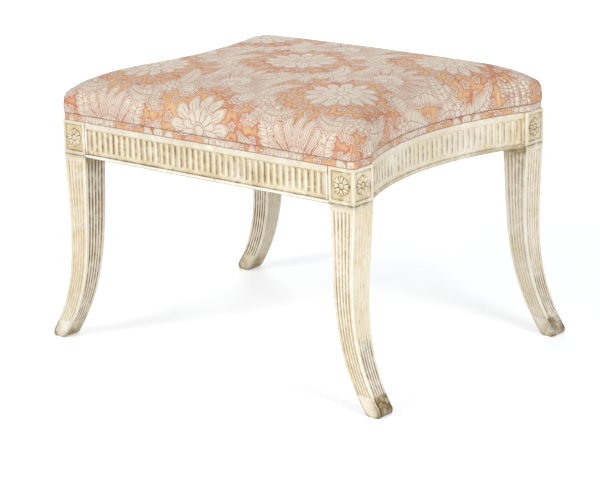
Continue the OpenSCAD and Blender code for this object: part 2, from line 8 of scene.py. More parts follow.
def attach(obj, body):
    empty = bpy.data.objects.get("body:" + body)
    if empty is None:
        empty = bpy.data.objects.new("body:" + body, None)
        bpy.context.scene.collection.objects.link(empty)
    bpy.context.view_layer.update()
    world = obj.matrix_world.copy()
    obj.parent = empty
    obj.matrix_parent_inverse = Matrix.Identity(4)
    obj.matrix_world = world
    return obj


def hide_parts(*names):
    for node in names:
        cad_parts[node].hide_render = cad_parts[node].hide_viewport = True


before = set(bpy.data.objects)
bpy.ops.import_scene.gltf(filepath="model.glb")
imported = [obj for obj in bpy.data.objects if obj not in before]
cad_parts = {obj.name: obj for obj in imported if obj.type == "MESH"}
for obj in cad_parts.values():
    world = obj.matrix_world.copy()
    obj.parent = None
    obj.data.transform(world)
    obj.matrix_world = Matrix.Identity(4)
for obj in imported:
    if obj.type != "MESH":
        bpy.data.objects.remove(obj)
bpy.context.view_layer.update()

# The view. A long lens looks down a little on the stool's front right corner, and the
# stool stands on a plain pale floor under wide soft lights.
view_turn, view_rise, view_roll = np.radians([39.619, 15.845, -1.307])
camera_place = (2.3088, -2.79731, 1.20826)
# Each lamp's name, place, width and watts, and the spot that all of them face
lamp_aim = (0, 0, 0.25)
lamps = (("left_front", (-0.75, -2.9, 2.1), 1.2, 36), ("right_front", (3.0, -0.75, 2.1), 1.2, 33),
         ("low_front", (2.0, -2.6, 0.6), 1.4, 26), ("rear", (-2.0, 2.4, 1.5), 1.6, 30))
air_strength = 0.44
floor_reach = 14
floor_colour = (0.9, 0.91, 0.93, 1)
glow_colour = (0.92, 0.96, 1, 1)
plain_white = (1, 1, 1, 1)


def set_in_place(thing, axes, place):
    """Puts a camera or lamp at a place, with its own axes along three unit vectors."""
    thing.matrix_world = Matrix([[*row, spot] for row, spot in zip(np.array(axes).T, place)] + [[0, 0, 0, 1]])
    bpy.context.scene.collection.objects.link(thing)


def unit(vector):
    """The vector of length 1 along a vector."""
    return vector/np.linalg.norm(vector)


def new_node(tree, kind, **values):
    """A new node in a material or world, with plain values on the inputs that the words name."""
    node = tree.nodes.new("ShaderNode" + kind)
    for title, value in values.items():
        node.inputs[title.replace("_", " ").title()].default_value = value
    return node


def joined(tree, *pairs):
    """Links each pair's first socket to its second."""
    for start, end in pairs:
        tree.links.new(start, end)


back = np.array([math.sin(view_turn)*math.cos(view_rise), -math.cos(view_turn)*math.cos(view_rise),
                 math.sin(view_rise)])
level = unit(np.cross(-back, [0, 0, 1]))
upward = np.cross(level, -back)
right = math.cos(view_roll)*level + math.sin(view_roll)*upward
up = -math.sin(view_roll)*level + math.cos(view_roll)*upward
lens = bpy.data.cameras.new("camera")
lens.lens = 134.73
lens.shift_x = -0.00445
lens.shift_y = -0.0140
lens.clip_end = 60
camera = bpy.data.objects.new("camera", lens)
set_in_place(camera, (right, up, back), camera_place)
bpy.context.scene.camera = camera
bpy.context.scene.view_settings.view_transform = "Standard"

for lamp_name, place, size, power in lamps:
    light = bpy.data.lights.new(lamp_name, "AREA")
    light.shape = "SQUARE"
    light.size = size
    light.energy = power
    away = unit(np.array(place, float) - lamp_aim)
    side = unit(np.cross([0, 0, 1], away))
    set_in_place(bpy.data.objects.new(lamp_name, light), (side, np.cross(away, side), away), place)

# The air lights the stool a little, and shows plain white to the camera and in gloss
world = bpy.data.worlds.new("studio")
world.use_nodes = True
bpy.context.scene.world = world
sky = world.node_tree
air = sky.nodes["Background"]
air.inputs["Color"].default_value = plain_white
air.inputs["Strength"].default_value = air_strength
white = new_node(sky, "Background", color=plain_white, strength=1)
seen = new_node(sky, "LightPath")
either = new_node(sky, "Math")
either.operation = "MAXIMUM"
choice = new_node(sky, "MixShader")
joined(sky, (seen.outputs["Is Camera Ray"], either.inputs[0]),
       (seen.outputs["Is Glossy Ray"], either.inputs[1]), (either.outputs[0], choice.inputs[0]),
       (air.outputs[0], choice.inputs[1]), (white.outputs[0], choice.inputs[2]),
       (choice.outputs[0], sky.nodes["World Output"].inputs["Surface"]))

# The floor glows for the camera alone, more with distance, so that it shows white but keeps the shadows
floor_mesh = bpy.data.meshes.new("floor")
floor_corners = [(x*floor_reach, y*floor_reach, 0) for x, y in ((-1, -1), (1, -1), (1, 1), (-1, 1))]
floor_mesh.from_pydata(floor_corners, [], [(0, 1, 2, 3)])
floor = bpy.data.objects.new("floor", floor_mesh)
bpy.context.scene.collection.objects.link(floor)
paper = bpy.data.materials.new("studio_paper")
paper.use_nodes = True
board = paper.node_tree
board.nodes.remove(board.nodes["Principled BSDF"])
plain = new_node(board, "BsdfDiffuse", color=floor_colour)
glow = new_node(board, "Emission", color=glow_colour)
spot = new_node(board, "TexCoord")
reach = new_node(board, "VectorMath")
reach.operation = "LENGTH"
spread = new_node(board, "MapRange", from_min=0.9, from_max=4, to_min=0.37, to_max=0.8)
lifted = new_node(board, "AddShader")
which = new_node(board, "MixShader")
ray = new_node(board, "LightPath")
joined(board, (spot.outputs["Object"], reach.inputs[0]), (reach.outputs["Value"], spread.inputs["Value"]),
       (spread.outputs["Result"], glow.inputs["Strength"]),
       (plain.outputs[0], lifted.inputs[0]), (glow.outputs[0], lifted.inputs[1]),
       (ray.outputs["Is Camera Ray"], which.inputs[0]), (plain.outputs[0], which.inputs[1]),
       (lifted.outputs[0], which.inputs[2]),
       (which.outputs[0], board.nodes["Material Output"].inputs["Surface"]))
floor_mesh.materials.append(paper)

# Legs. Four sabre legs of beech, each sawn from one plank with its square corner block.
# Five flutes run down every face to a plain toe, and each block's two outer faces have a
# sunk panel. Everything is gessoed, painted cream and wiped with an ochre and umber glaze.
frame_w, frame_d, frame_h = 610, 511, 384
half_w, half_d = frame_w/2, frame_d/2
block_w, block_h = 48.5, 56
shaft_h = frame_h - block_h
foot_sweep, leg_lean, foot_flare = 53, 8.5, 2.5
foot_w, foot_d = 33.5, 33.5
toe_round, heel_round = 7, 14
toe_h, neck_h = 32, 12
leg_flute_depth, groove_depth, groove_h = 1.8, 1.2, 1.6
panel_border, panel_sink, panel_slope = 5, 1.6, 0.6
ledge_h, ledge_sink, corner_r = 12, 2.6, 9
end_curve, end_setback = 46, 4
block_in_y = half_d - block_w
end_r = (block_in_y**2 + end_curve**2)/(2*end_curve)
end_c = half_w - end_setback - end_curve + end_r
leg_flute_share, leg_pitch_share = 0.049, 0.158
panel_x, panel_y, panel_z = half_w - block_w/2, half_d - block_w/2, shaft_h + block_h/2

# Shares for each face of a leg, in the order outer X, outer Y, inner X and inner Y. They differ by face
# partly as painted light and shade, set for how each face is lit
flute_glaze_shares = (0.62, 0.7, 0.66, 0.66)
panel_glaze_shares = (0.56, 0.72, 0, 0)
border_glaze_shares = (0.12, 0.26, 0, 0)
film_shares = (0.22, 0.22, 0.1, 0.1)
wall_width_shares = (0.24, 0.24, 0.36, 0.36)
wall_dirt_and_shade_shares = (0.55, 0.6, 0.85, 0.9)
upper_darkening_shares = (0, 0.5, 1, 1)
# Height and width of the scuff on each face's toe, and its place as a share of the way across
scuff_h, scuff_w, scuff_shares = (1, 26, 30, 30), (1, 13, 30, 24), (0, 0.5, 0, -0.5)


def as_share(values):
    """Values kept between 0 and 1."""
    return np.clip(values, 0, 1)


def highest(parts):
    """The highest of several shares at each point."""
    return np.maximum.reduce(np.broadcast_arrays(*parts))


def bell(distance, width):
    """A bell curve, the exponential of minus the square of a distance in widths."""
    return np.exp(-(distance/width)**2)


def fading(distance, width):
    """A share that is 1 at no distance and falls e times with each width."""
    return np.exp(-distance/width)


def arc_x(radius, y):
    """X at Y on a circle round the centre that an end rail follows."""
    return end_c - np.sqrt(radius**2 - y**2)


def leg_sides(z):
    """Outer and inner X, then outer and inner Y, at heights. The shaft leans in by half a sine wave, then
    sweeps out with the fourth power of the way down, and it tapers from inside. The sole's edges are arcs."""
    s = as_share(1 - z/shaft_h)
    x_out = half_w + foot_sweep*s**4 - leg_lean*np.sin(np.pi*s**1.25)
    x_in = x_out - (foot_w + (block_w - foot_w)*(1 - s)**2.6)
    y_out = half_d + foot_flare*s**4
    y_in = y_out - (foot_d + (block_w - foot_d)*(1 - s*s)**2)
    slope = (4*foot_sweep + 1.25*np.pi*leg_lean)/shaft_h
    long = math.sqrt(1 + slope**2)
    toe_x = half_w + foot_sweep - toe_round*(slope + long)
    toe_low = z < toe_round*(1 + slope/long)
    x_out = np.where(toe_low, toe_x + np.sqrt(np.maximum(toe_round**2 - (z - toe_round)**2, 0)), x_out)
    heel_x = half_w + foot_sweep - foot_w + heel_round*(long - slope)
    heel_low = z < heel_round*(1 - slope/long)
    x_in = np.where(heel_low, heel_x - np.sqrt(np.maximum(heel_round**2 - (z - heel_round)**2, 0)), x_in)
    return x_out, x_in, y_out, y_in


def face_columns():
    """Places across a face as shares, dense in the flutes and at the panel's edge, and the angle by which
    the last ones go round the rounded corner."""
    flute = leg_flute_share*np.sin(np.radians(np.linspace(-90, 90, 9)))
    land = leg_flute_share + (leg_pitch_share - 2*leg_flute_share)*np.array([1/3, 2/3])
    shares = [k*leg_pitch_share + flute for k in range(-2, 3)]
    shares += [k*leg_pitch_share + land for k in range(-2, 2)]
    panel = 0.5 - panel_border/block_w
    margin = np.array([0.374, panel - panel_slope/block_w, panel, 0.42, 0.45])
    flat = np.sort(np.concatenate(shares + [margin, -margin]))
    turn = np.radians([45, 30, 15, 0])
    places = np.concatenate([np.full(4, -0.5), flat, np.full(3, 0.5)])
    turns = np.concatenate([turn, np.zeros(len(flat)), turn[::-1][:-1]])
    corner = np.concatenate([np.full(4, -1), np.zeros(len(flat)), np.ones(3)])
    return places, turns, corner


def leg_surface():
    """The leg at the plus X, plus Y corner as rings of points from the sole to the ledge's top, and the
    shares of glaze, of umber in crevices, which is dirt and painted shade, and of whitening, which is rubbed
    paint and a painted highlight. A flute is the lower half of an ellipse across, with round ends, and the
    sunk panels and the groove under the block have straight sloping sides."""
    flute_low, flute_high = toe_h, shaft_h - neck_h - block_w*0.05
    panel_low, panel_high = shaft_h + panel_border, frame_h - panel_border
    # Heights of the rings, closer together where the shape turns
    z = np.concatenate([
        [0, 0.12, 0.45, 1, 1.8, 2.8, 4, 5.2, 6.4, 8.5, 11.5, 15, 19, 23, 27],
        flute_low - np.array([2.4, 1.75, 1.6, 1.35, 1, 0.5, -0.5]),
        np.linspace(flute_low + 4, flute_high - 4, 66),
        flute_high + np.array([-0.5, 0.8, 1.5, 2, 2.25, 2.45, 3]),
        [shaft_h - 9, shaft_h - 6, shaft_h - 3],
        shaft_h - groove_h*np.array([1.25, 1, 0.75, 0.5, 0.25, 0, -0.3]),
        [shaft_h + 2], panel_low + np.array([-0.8, 0, 0.3, panel_slope, 1.2, 3]),
        np.linspace(panel_low + 6, panel_high - 6, 9),
        panel_high - np.array([3, 1.2, panel_slope, 0.3, 0, -0.8]),
        [frame_h - 1.6, frame_h - 0.7, frame_h - 0.2, frame_h, frame_h, frame_h + 1, frame_h + ledge_h]])
    rows = len(z)
    places, turns, corner = face_columns()
    x_out, x_in, y_out, y_in = leg_sides(z)
    radius = np.interp(z, [0, 6, 26, 60, shaft_h - 4, shaft_h, frame_h - 2, frame_h],
                       [5.5, 5, 3.4, 1.4, 1.1, 0.5, 0.7, 1.1])
    on_ledge = np.arange(rows) >= rows - 3
    in_block = (z > shaft_h) & ~on_ledge
    cut = as_share(1 - abs(z - (shaft_h - groove_h/2))/(groove_h/2))*groove_depth
    cut = cut + np.where(on_ledge, ledge_sink, 0)
    rings, glazes, crevices, rubs_and_highlights = [], [], [], []
    # Faces in turn round the leg: outer X, outer Y, inner X, inner Y
    for normal, start in ((0, -1), (1, 1), (2, 1), (3, -1)):
        along_x = normal in (1, 3)
        outer = normal < 2
        length = (x_out - x_in if along_x else y_out - y_in)[:, None]
        share = places[None, :]
        r = radius[:, None]
        across = np.where(corner == 0, share*length, corner*(length/2 - r + r*np.sin(turns)))
        inset = np.where(corner == 0, 0, r - r*np.cos(turns))
        nearest = np.clip(np.round(share/leg_pitch_share), -2, 2)
        side = (share - nearest*leg_pitch_share)/leg_flute_share
        past = np.maximum(z[:, None] - flute_high, flute_low - z[:, None])
        past = np.maximum(past, 0)/(leg_flute_share*length)
        hollow = np.sqrt(as_share(1 - side**2 - past**2))
        depth = leg_flute_depth*hollow
        level = z[:, None]
        edge = np.minimum(block_w/2 - abs(across), block_h/2 - abs(level - panel_z)) - panel_border
        sunk = as_share(edge/panel_slope)*in_block[:, None]*outer
        depth = depth + panel_sink*sunk
        # Glaze and dirt lie in the panels' corners, the groove, the flutes and on the toe. Painted shade
        # darkens the groove and the panels' corners, one wall of each flute, and the inner faces under the
        # rails
        corner_line = sunk*fading(np.maximum(edge, 0), 1.4)
        # Painted shade, with glaze, in the groove and just under the block
        below_block = 0.4*fading(abs(level - shaft_h + 2), 3)
        shade_under_block = np.maximum((cut/groove_depth)[:, None]*(level < shaft_h + 1), below_block)
        # Painted shade on the inner faces just under the rails
        shade_under_rail = fading(shaft_h - level, 26)*(not outer)*(level < shaft_h)
        toe = as_share((toe_h + 1.5 - level)/4)*(normal == 0)
        foot = as_share(1 - level/16)**2
        low = as_share((122 - level)/24)*(normal == 0)
        # Flutes darken higher up the shaft, most on the inner faces
        high = as_share((level - 170)/130)*upper_darkening_shares[normal]
        scuff = as_share(1.35 - level/scuff_h[normal])*(normal > 0)
        scuff = scuff*bell(abs(share + scuff_shares[normal])*length, scuff_w[normal])
        # A dark line along one wall of each flute: umber dirt and painted shade
        wall = bell(side - 0.5, wall_width_shares[normal])*(hollow > 0)
        glaze = highest([
            hollow*flute_glaze_shares[normal]*(1 - 0.5*low), film_shares[normal],
            panel_glaze_shares[normal]*sunk, border_glaze_shares[normal]*in_block[:, None],
            0.8*shade_under_block, 0.5*foot, 0.6*toe, 0.9*shade_under_rail, 0.9*scuff])
        crevice = highest([
            wall*(wall_dirt_and_shade_shares[normal] + 0.3*high), low*hollow**1.6, 0.26*high*hollow, 0.6*shade_under_rail,
            0.85*corner_line, 0.9*shade_under_block, 0.62*toe, 0.45*foot, 0.4*scuff])
        # Paint is rubbed off the corners and an outer Y face's toe. The ridges between flutes are whitened,
        # as rubbed paint and a painted highlight, more on the inner faces and low on the outer X face
        plain_toe = 0.45*as_share((toe_h - level)/4)*(normal == 1)
        rub_and_highlight = np.where(corner != 0, 0.9 - 0.35*in_block[:, None], 0)*(1 - toe)
        rub_and_highlight = np.maximum(rub_and_highlight, plain_toe)*(1 - 0.8*scuff)*np.ones_like(depth)
        ridge = as_share(1 - abs(abs(side) - 1.35)/0.5)*(hollow == 0)*(past < 0.2)
        rub_and_highlight = np.maximum(rub_and_highlight, ridge*(0.6 + 0.4*low + 0.3*(not outer)))*(1 - 0.8*shade_under_rail)
        total = depth + inset + (cut if outer else np.minimum(cut, groove_depth))[:, None]*np.ones_like(depth)
        middle = ((x_out + x_in)/2 if along_x else (y_out + y_in)/2)[:, None]
        run = middle + across*(-1 if start > 0 else 1)
        face = (x_out, y_out, x_in, y_in)[normal][:, None] + total*(-1 if outer else 1)
        x, y = (run, face) if along_x else (face, run)
        rings.append(np.stack([x, y, z[:, None]*np.ones_like(x)], -1))
        glazes.append(glaze)
        crevices.append(crevice)
        rubs_and_highlights.append(rub_and_highlight)
    points = np.concatenate(rings, 1)
    ledge = points[-3:, :, :2]
    ledge[..., 0] = np.minimum(ledge[..., 0], arc_x(end_r + ledge_sink, ledge[..., 1]))
    middle = np.array([half_w - corner_r, half_d - corner_r])
    beyond = np.maximum(ledge - middle, 0)
    reach = np.linalg.norm(beyond, axis=2)
    shrink = np.minimum((corner_r - ledge_sink)/np.maximum(reach, 1e-6), 1)[..., None]
    ledge[...] = np.where((beyond > 0).all(2)[..., None], middle + beyond*shrink, ledge)
    shares = [as_share(np.concatenate(part, 1)) for part in (glazes, crevices, rubs_and_highlights)]
    return points/1000, dict(zip(("glaze", "crevice", "rub_and_highlight"), shares))


def ring_piece(name, points, shares, material, turned=False, sharp=32, caps=(True, True), cloth=None):
    """A surface from rings of points. Neighbouring rings are joined by quads, and a middle point closes each
    end that has a cap. shares are numbers at every point, cloth its place in the flat cloth, and turned swaps
    the faces' way round."""
    rows, columns = points.shape[:2]
    ends = [end for end, cap in zip((0, -1), caps) if cap]
    spots = np.concatenate([points.reshape(-1, 3), points[ends].mean(1)])
    j = np.arange(columns)
    k = (j + 1) % columns
    first = np.arange(rows - 1)[:, None]*columns
    quads = np.stack([first + j, first + k, first + columns + k, first + columns + j], -1).reshape(-1, 4)
    fans = []
    for tip, end in enumerate(ends):
        first, next_one = (k, j) if end == 0 else ((rows - 1)*columns + j, (rows - 1)*columns + k)
        fans.append(np.stack([np.full(columns, rows*columns + tip), first, next_one], -1))
    faces = [quads, *fans]
    if turned:
        faces = [face[:, ::-1] for face in faces]
    loops = np.concatenate([face.ravel() for face in faces]).astype(np.int32)
    sizes = np.concatenate([np.full(len(face), face.shape[1]) for face in faces])
    mesh = bpy.data.meshes.new(name)
    mesh.vertices.add(len(spots))
    mesh.vertices.foreach_set("co", spots.astype(np.float32).ravel())
    mesh.loops.add(len(loops))
    mesh.loops.foreach_set("vertex_index", loops)
    mesh.polygons.add(len(sizes))
    mesh.polygons.foreach_set("loop_start", np.concatenate([[0], np.cumsum(sizes)[:-1]]).astype(np.int32))
    mesh.update(calc_edges=True)
    mesh.validate()
    for title, values in shares.items():
        values = np.concatenate([values.ravel(), values[ends].mean(1)])
        mesh.attributes.new(title, "FLOAT", "POINT").data.foreach_set("value", values.astype(np.float32))
    if cloth is not None:
        values = np.concatenate([cloth.reshape(-1, 2), cloth[ends].mean(1)])
        mesh.uv_layers.new(name="cloth").data.foreach_set("uv", values[loops].astype(np.float32).ravel())
    mesh.shade_smooth()
    mesh.set_sharp_from_angle(angle=math.radians(sharp))
    mesh.materials.append(material)
    piece = bpy.data.objects.new(name, mesh)
    bpy.context.scene.collection.objects.link(piece)
    return piece


class Reading:
    """A number that a material works out at each point. Plain sums of readings become its Math nodes."""

    def __init__(self, tree, socket):
        self.tree = tree
        self.socket = socket

    def sum(self, operation, *others):
        """The reading that a Math node gives for this one and others, which may be plain numbers."""
        node = self.tree.nodes.new("ShaderNodeMath")
        node.operation = operation
        for place, value in enumerate((self, *others)):
            if isinstance(value, Reading):
                self.tree.links.new(value.socket, node.inputs[place])
            else:
                node.inputs[place].default_value = value
        return Reading(self.tree, node.outputs[0])

    def __rsub__(self, other):
        return self.sum("MULTIPLY_ADD", -1.0, other)

    def share(self):
        """The reading kept between 0 and 1."""
        kept = self.sum("ADD", 0.0)
        kept.socket.node.use_clamp = True
        return kept


def node_sum(operation):
    """A method of a reading that works out one kind of sum with a Math node."""
    def worked(reading, *others):
        return reading.sum(operation, *others)
    return worked


for method, operation in (
        ("__add__", "ADD"), ("__radd__", "ADD"), ("__sub__", "SUBTRACT"), ("__mul__", "MULTIPLY"),
        ("__rmul__", "MULTIPLY"), ("__truediv__", "DIVIDE"), ("__abs__", "ABSOLUTE"), ("low", "MINIMUM"),
        ("high", "MAXIMUM"), ("floor", "FLOOR"), ("fraction", "FRACT"), ("sine", "SINE"),
        ("cosine", "COSINE"), ("power", "POWER"), ("angle_to", "ARCTAN2"), ("root", "SQRT")):
    setattr(Reading, method, node_sum(operation))


def from_screen(red, green, blue):
    """The linear colour of a colour as a screen shows it, from 0 to 255."""
    share = np.array([red, green, blue])/255
    return (*np.where(share <= 0.04045, share/12.92, ((share + 0.055)/1.055)**2.4), 1)


def finish_nodes(name, roughness, **values):
    """A new material, its node tree and its shader, with even values on the shader's own sockets."""
    material = bpy.data.materials.new(name)
    material.use_nodes = True
    shader = material.node_tree.nodes["Principled BSDF"]
    for title, value in dict(roughness=roughness, **values).items():
        shader.inputs[title.replace("_", " ").title()].default_value = value
    return material, material.node_tree, shader


def place_of(tree, stretch=(1, 1, 1)):
    """Object coordinates in metres, stretched along each axis."""
    mapping = new_node(tree, "Mapping", scale=stretch)
    tree.links.new(new_node(tree, "TexCoord").outputs["Object"], mapping.inputs["Vector"])
    return mapping.outputs["Vector"]


def cloudy(tree, place, scale, detail=3.0, rough=0.55, warp=0.0):
    """A noise reading from 0 to 1 with its blobs about 1/scale metres across."""
    node = new_node(tree, "TexNoise", scale=scale, detail=detail, roughness=rough, distortion=warp)
    tree.links.new(place, node.inputs["Vector"])
    return Reading(tree, node.outputs["Fac"])


def axes_of(tree, vector):
    """The readings of a vector's three parts."""
    split = new_node(tree, "SeparateXYZ")
    tree.links.new(vector, split.inputs[0])
    return [Reading(tree, part) for part in split.outputs]


def point_share(tree, title):
    """The reading of a share that the piece's points carry."""
    node = new_node(tree, "Attribute")
    node.attribute_name = title
    return Reading(tree, node.outputs["Fac"])


def blended(tree, share, first, second):
    """The colour between two colours at a share; each is a colour or a socket."""
    node = new_node(tree, "Mix")
    node.data_type = "RGBA"
    tree.links.new(share.socket, node.inputs[0])
    for socket, colour in ((node.inputs[6], first), (node.inputs[7], second)):
        if isinstance(colour, bpy.types.NodeSocket):
            tree.links.new(colour, socket)
        else:
            socket.default_value = colour
    return node.outputs[2]


def raised(tree, shader, height, distance):
    """Bumps the shader's surface by a height reading from 0 to 1 times a distance in metres."""
    node = new_node(tree, "Bump", distance=distance, strength=1)
    joined(tree, (height.socket, node.inputs["Height"]), (node.outputs["Normal"], shader.inputs["Normal"]))


def painted_wood():
    """Cream paint over gesso. An ochre glaze stays in the hollows, umber darkens the crevices as dirt and as
    painted shade, and the arrises are whitened, as rubbed paint and as a painted highlight."""
    material, tree, shader = finish_nodes("cream_paint_with_glaze", 0.5)
    place = place_of(tree)
    wide = cloudy(tree, place, 16, 4, 0.6, 0.4)
    fine = cloudy(tree, place, 210, 4, 0.7)
    brushed = cloudy(tree, place_of(tree, (1, 1, 0.08)), 480, 3, 0.65)
    glaze, crevice, rub_and_highlight = [point_share(tree, title) for title in ("glaze", "crevice", "rub_and_highlight")]
    patch = ((cloudy(tree, place, 70, 3, 0.6, 0.5) - 0.34)*3.1).share()
    tone = fine*0.5 + brushed*0.5
    paint = blended(tree, ((tone - 0.35)*3).share(), from_screen(235, 227, 205), from_screen(250, 246, 236))
    wiped = glaze*(tone*1.5 + patch*0.9 - 0.2) + (wide - 0.47)*1.6 + (brushed - 0.48)*0.9
    ochre = blended(tree, (fine*1.6 - 0.3).share(), from_screen(231, 214, 168), from_screen(206, 181, 128))
    washed = blended(tree, wiped.share(), paint, ochre)
    # Umber where the crevice share is high: dirt, and painted shade on shadowed walls and undersides
    dirt_and_shade = (crevice*(tone*1.6 + patch*1.2 - 0.3) + (wide - 0.5)*crevice).share()
    umber = blended(tree, fine, from_screen(140, 112, 72), from_screen(84, 62, 38))
    aged_and_shaded = blended(tree, dirt_and_shade, washed, umber)
    # White where the rub share is high: rubbed paint, and a painted highlight on ridges, beads and bosses
    rubbed_and_highlit = (rub_and_highlight*((tone - 0.32)*4)).share()
    worn = blended(tree, rubbed_and_highlit, aged_and_shaded, from_screen(254, 252, 246))
    # The dark chips gather in the crevices too, with the painted shade
    chips = ((cloudy(tree, place, 330, 3, 0.6) - 0.68)*24 + (wide - 0.5)*3 + crevice).share()
    tree.links.new(blended(tree, chips*0.75, worn, from_screen(142, 116, 78)), shader.inputs["Base Color"])
    tree.links.new((0.42 + tone*0.2).share().socket, shader.inputs["Roughness"])
    raised(tree, shader, tone - chips*0.6, 0.0005)
    return material


CORNERS = (("front_left", -1, -1), ("front_right", 1, -1), ("back_right", 1, 1), ("back_left", -1, 1))
cream_paint = painted_wood()
leg_points, leg_shares = leg_surface()
for corner_name, x_side, y_side in CORNERS:
    leg = ring_piece("painted_leg_" + corner_name, leg_points*[x_side, y_side, 1], leg_shares, cream_paint,
                     x_side*y_side < 0)
    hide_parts("leg_" + corner_name)
    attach(leg, "root")

# Rails. Two straight and two concave rails of beech, tenoned into the blocks. Each has a
# bead along its lower edge, a sunk frieze of upright stopped flutes and a plain fillet.
rail_h, rail_t, rail_setback = 59.5, 24, 0.4
bead_h, fillet_h, frieze_sink, end_fillet_w = 6.5, 9.5, 2, 5
flute_foot, flute_pitch, flute_w, flute_depth = 6, 12.4, 7.6, 2.2
fit_gap = 0.15
rail_bottom = frame_h - rail_h
frieze_top = rail_h - fillet_h
frieze_step = frieze_sink*0.8
flute_h = frieze_top - frieze_step - bead_h - flute_foot*1.1
flute_mid = bead_h + flute_foot + flute_h/2
block_in_x = half_w - block_w


def rail_columns(span, count):
    """Places along a rail, dense in the flutes and at the end fillets, and the flutes' middles."""
    middles = (np.arange(count) - (count - 1)/2)*flute_pitch
    flute = flute_w/2*np.sin(np.radians(np.linspace(-90, 90, 9)))
    land = (flute_pitch + (flute_pitch - flute_w)*np.array([-0.2, 0.2]))/2
    inside = (middles[:, None] + np.concatenate([flute, land])[None, :]).ravel()
    fillet = span/2 - end_fillet_w
    ends = np.array([span/2, span/2 - 1.2, span/2 - 2, span/2 - end_fillet_w*0.6, fillet + 0.25, fillet,
                     fillet - 0.5])
    inside = inside[abs(inside) < fillet - 1]
    return np.sort(np.concatenate([inside, ends, -ends])), middles


def rail_section(setback):
    """A rail's outline seen end on: distance out from the inner face, height, and which part it is,
    where 1 is the frieze. The lower bead is half an ellipse and the frieze's top edge slopes out."""
    turn = np.radians(np.linspace(-90, 90, 9))
    bead = np.stack([rail_t - bead_h/3 + bead_h/3*np.cos(turn), bead_h/2 + bead_h/2*np.sin(turn)], -1)
    low, high = flute_mid - flute_h/2, flute_mid + flute_h/2
    cap = flute_w/2*(1 - np.cos(np.radians([0, 18, 36, 54, 72, 90])))
    z = np.concatenate([[bead_h + 0.05, bead_h + 1, bead_h + 2.5], low - 0.7 + 0*cap[:1], low + cap,
                        np.linspace(low + flute_w/2, high - flute_w/2, 7)[1:-1], (high - cap)[::-1],
                        [high + 0.6, frieze_top - frieze_step]])
    face = np.stack([np.full(len(z), rail_t - frieze_sink), z], -1)
    fillet = np.array([[rail_t, frieze_top], [rail_t, frieze_top + 0.6], [rail_t, rail_h - 0.8],
                       [rail_t - 0.25, rail_h - 0.25], [rail_t - 0.9, rail_h]])
    ledge = rail_t - ledge_sink + setback
    rest = np.array([[ledge, rail_h], [ledge, rail_h + ledge_h], [0, rail_h + ledge_h], [0, rail_h],
                     [0, rail_h/2], [0, 0], [(rail_t - bead_h/3)/2, 0]])
    outline = np.concatenate([bead, face, fillet, rest])
    frieze = np.concatenate([np.zeros(len(bead)), np.ones(len(face)), np.zeros(len(fillet) + len(rest))])
    shown = np.concatenate([np.ones(len(bead) + len(face) + len(fillet)), np.zeros(len(rest))])
    return outline, frieze, shown


def rail_surface(span, count, setback):
    """Sections along a rail: the place along it, the distance out and the height at every point, and the
    shares of glaze, of umber, which is dirt and painted shade, and of whitening, which is rubbed paint and a
    painted highlight. A flute is the lower half of an ellipse, with round ends."""
    along, middles = rail_columns(span, count)
    outline, frieze, shown = rail_section(setback)
    out = outline[None, :, 0]*np.ones((len(along), 1))
    z = outline[None, :, 1]*np.ones((len(along), 1))
    run = along[:, None]
    nearest = middles[np.argmin(abs(run - middles[None, :]), 1)][:, None]
    side = (run - nearest)/(flute_w/2)
    past = np.maximum(abs(z - flute_mid) - (flute_h - flute_w)/2, 0)/(flute_w/2)
    hollow = np.sqrt(as_share(1 - side**2 - past**2))*frieze
    at_end = as_share((abs(run) - (span/2 - end_fillet_w))/0.25)
    out = out + at_end*frieze*frieze_sink - (1 - at_end)*hollow*flute_depth
    corner = np.minimum(z - bead_h, frieze_top - z)
    corner = np.minimum(corner, span/2 - end_fillet_w - abs(run))
    in_corner = frieze*(1 - at_end)*fading(np.maximum(corner, 0), 1.1)
    joint = as_share((2 - span/2 + abs(run))/0.8)*shown
    above_bead = fading(abs(z - bead_h), 0.9)*(out > rail_t - 4)
    # Painted shade, laid on with glaze and umber, on the bead's underside
    glaze_and_shade_under_bead = as_share(1 - z/2.2)*shown
    # A dark line along each flute's walls: umber dirt and painted shade
    wall = bell(abs(side - 0.15) - 0.72, 0.22)*(hollow > 0)
    # Painted shade in a thin line where the rail's top meets the band
    shade_under_band = fading(abs(rail_h - z), 0.8)*(out > rail_t - 1)
    on_fillet = 0.28*(z > frieze_top)*shown
    glaze = highest([0.55*frieze*(1 - at_end), 0.9*hollow**0.7, in_corner, 0.8*above_bead, joint,
                     0.8*glaze_and_shade_under_bead, 0.8*shade_under_band, on_fillet])
    glaze = np.where(shown == 0, 0.6, glaze)
    crevice = highest([0.95*wall*frieze, 0.8*in_corner, 0.8*above_bead, joint, 0.55*glaze_and_shade_under_bead,
                       0.6*shade_under_band])
    # The lands between flutes, the bead's front and the top fillet are whitened: rubbed paint and a painted
    # highlight
    rub_and_highlight = as_share((abs(side) - 0.9)/0.15)*0.46*frieze*(past < 0.5)*(1 - in_corner)
    bead_rub_and_highlight = bell(z - bead_h*0.55, 1.6)*(z < bead_h)
    fillet_rub_and_highlight = bell(z - rail_h + 2, 3)*(z <= rail_h)
    rub_and_highlight = np.maximum(rub_and_highlight, np.maximum(bead_rub_and_highlight, 0.6*fillet_rub_and_highlight)*shown)
    shares = {"glaze": glaze, "crevice": crevice, "rub_and_highlight": rub_and_highlight}
    return run*np.ones_like(z), out, z + rail_bottom, shares


def flute_count(length):
    """Number of flutes in a length, with a plain stop at both ends."""
    return math.floor((length - flute_w - flute_foot)/flute_pitch) + 1


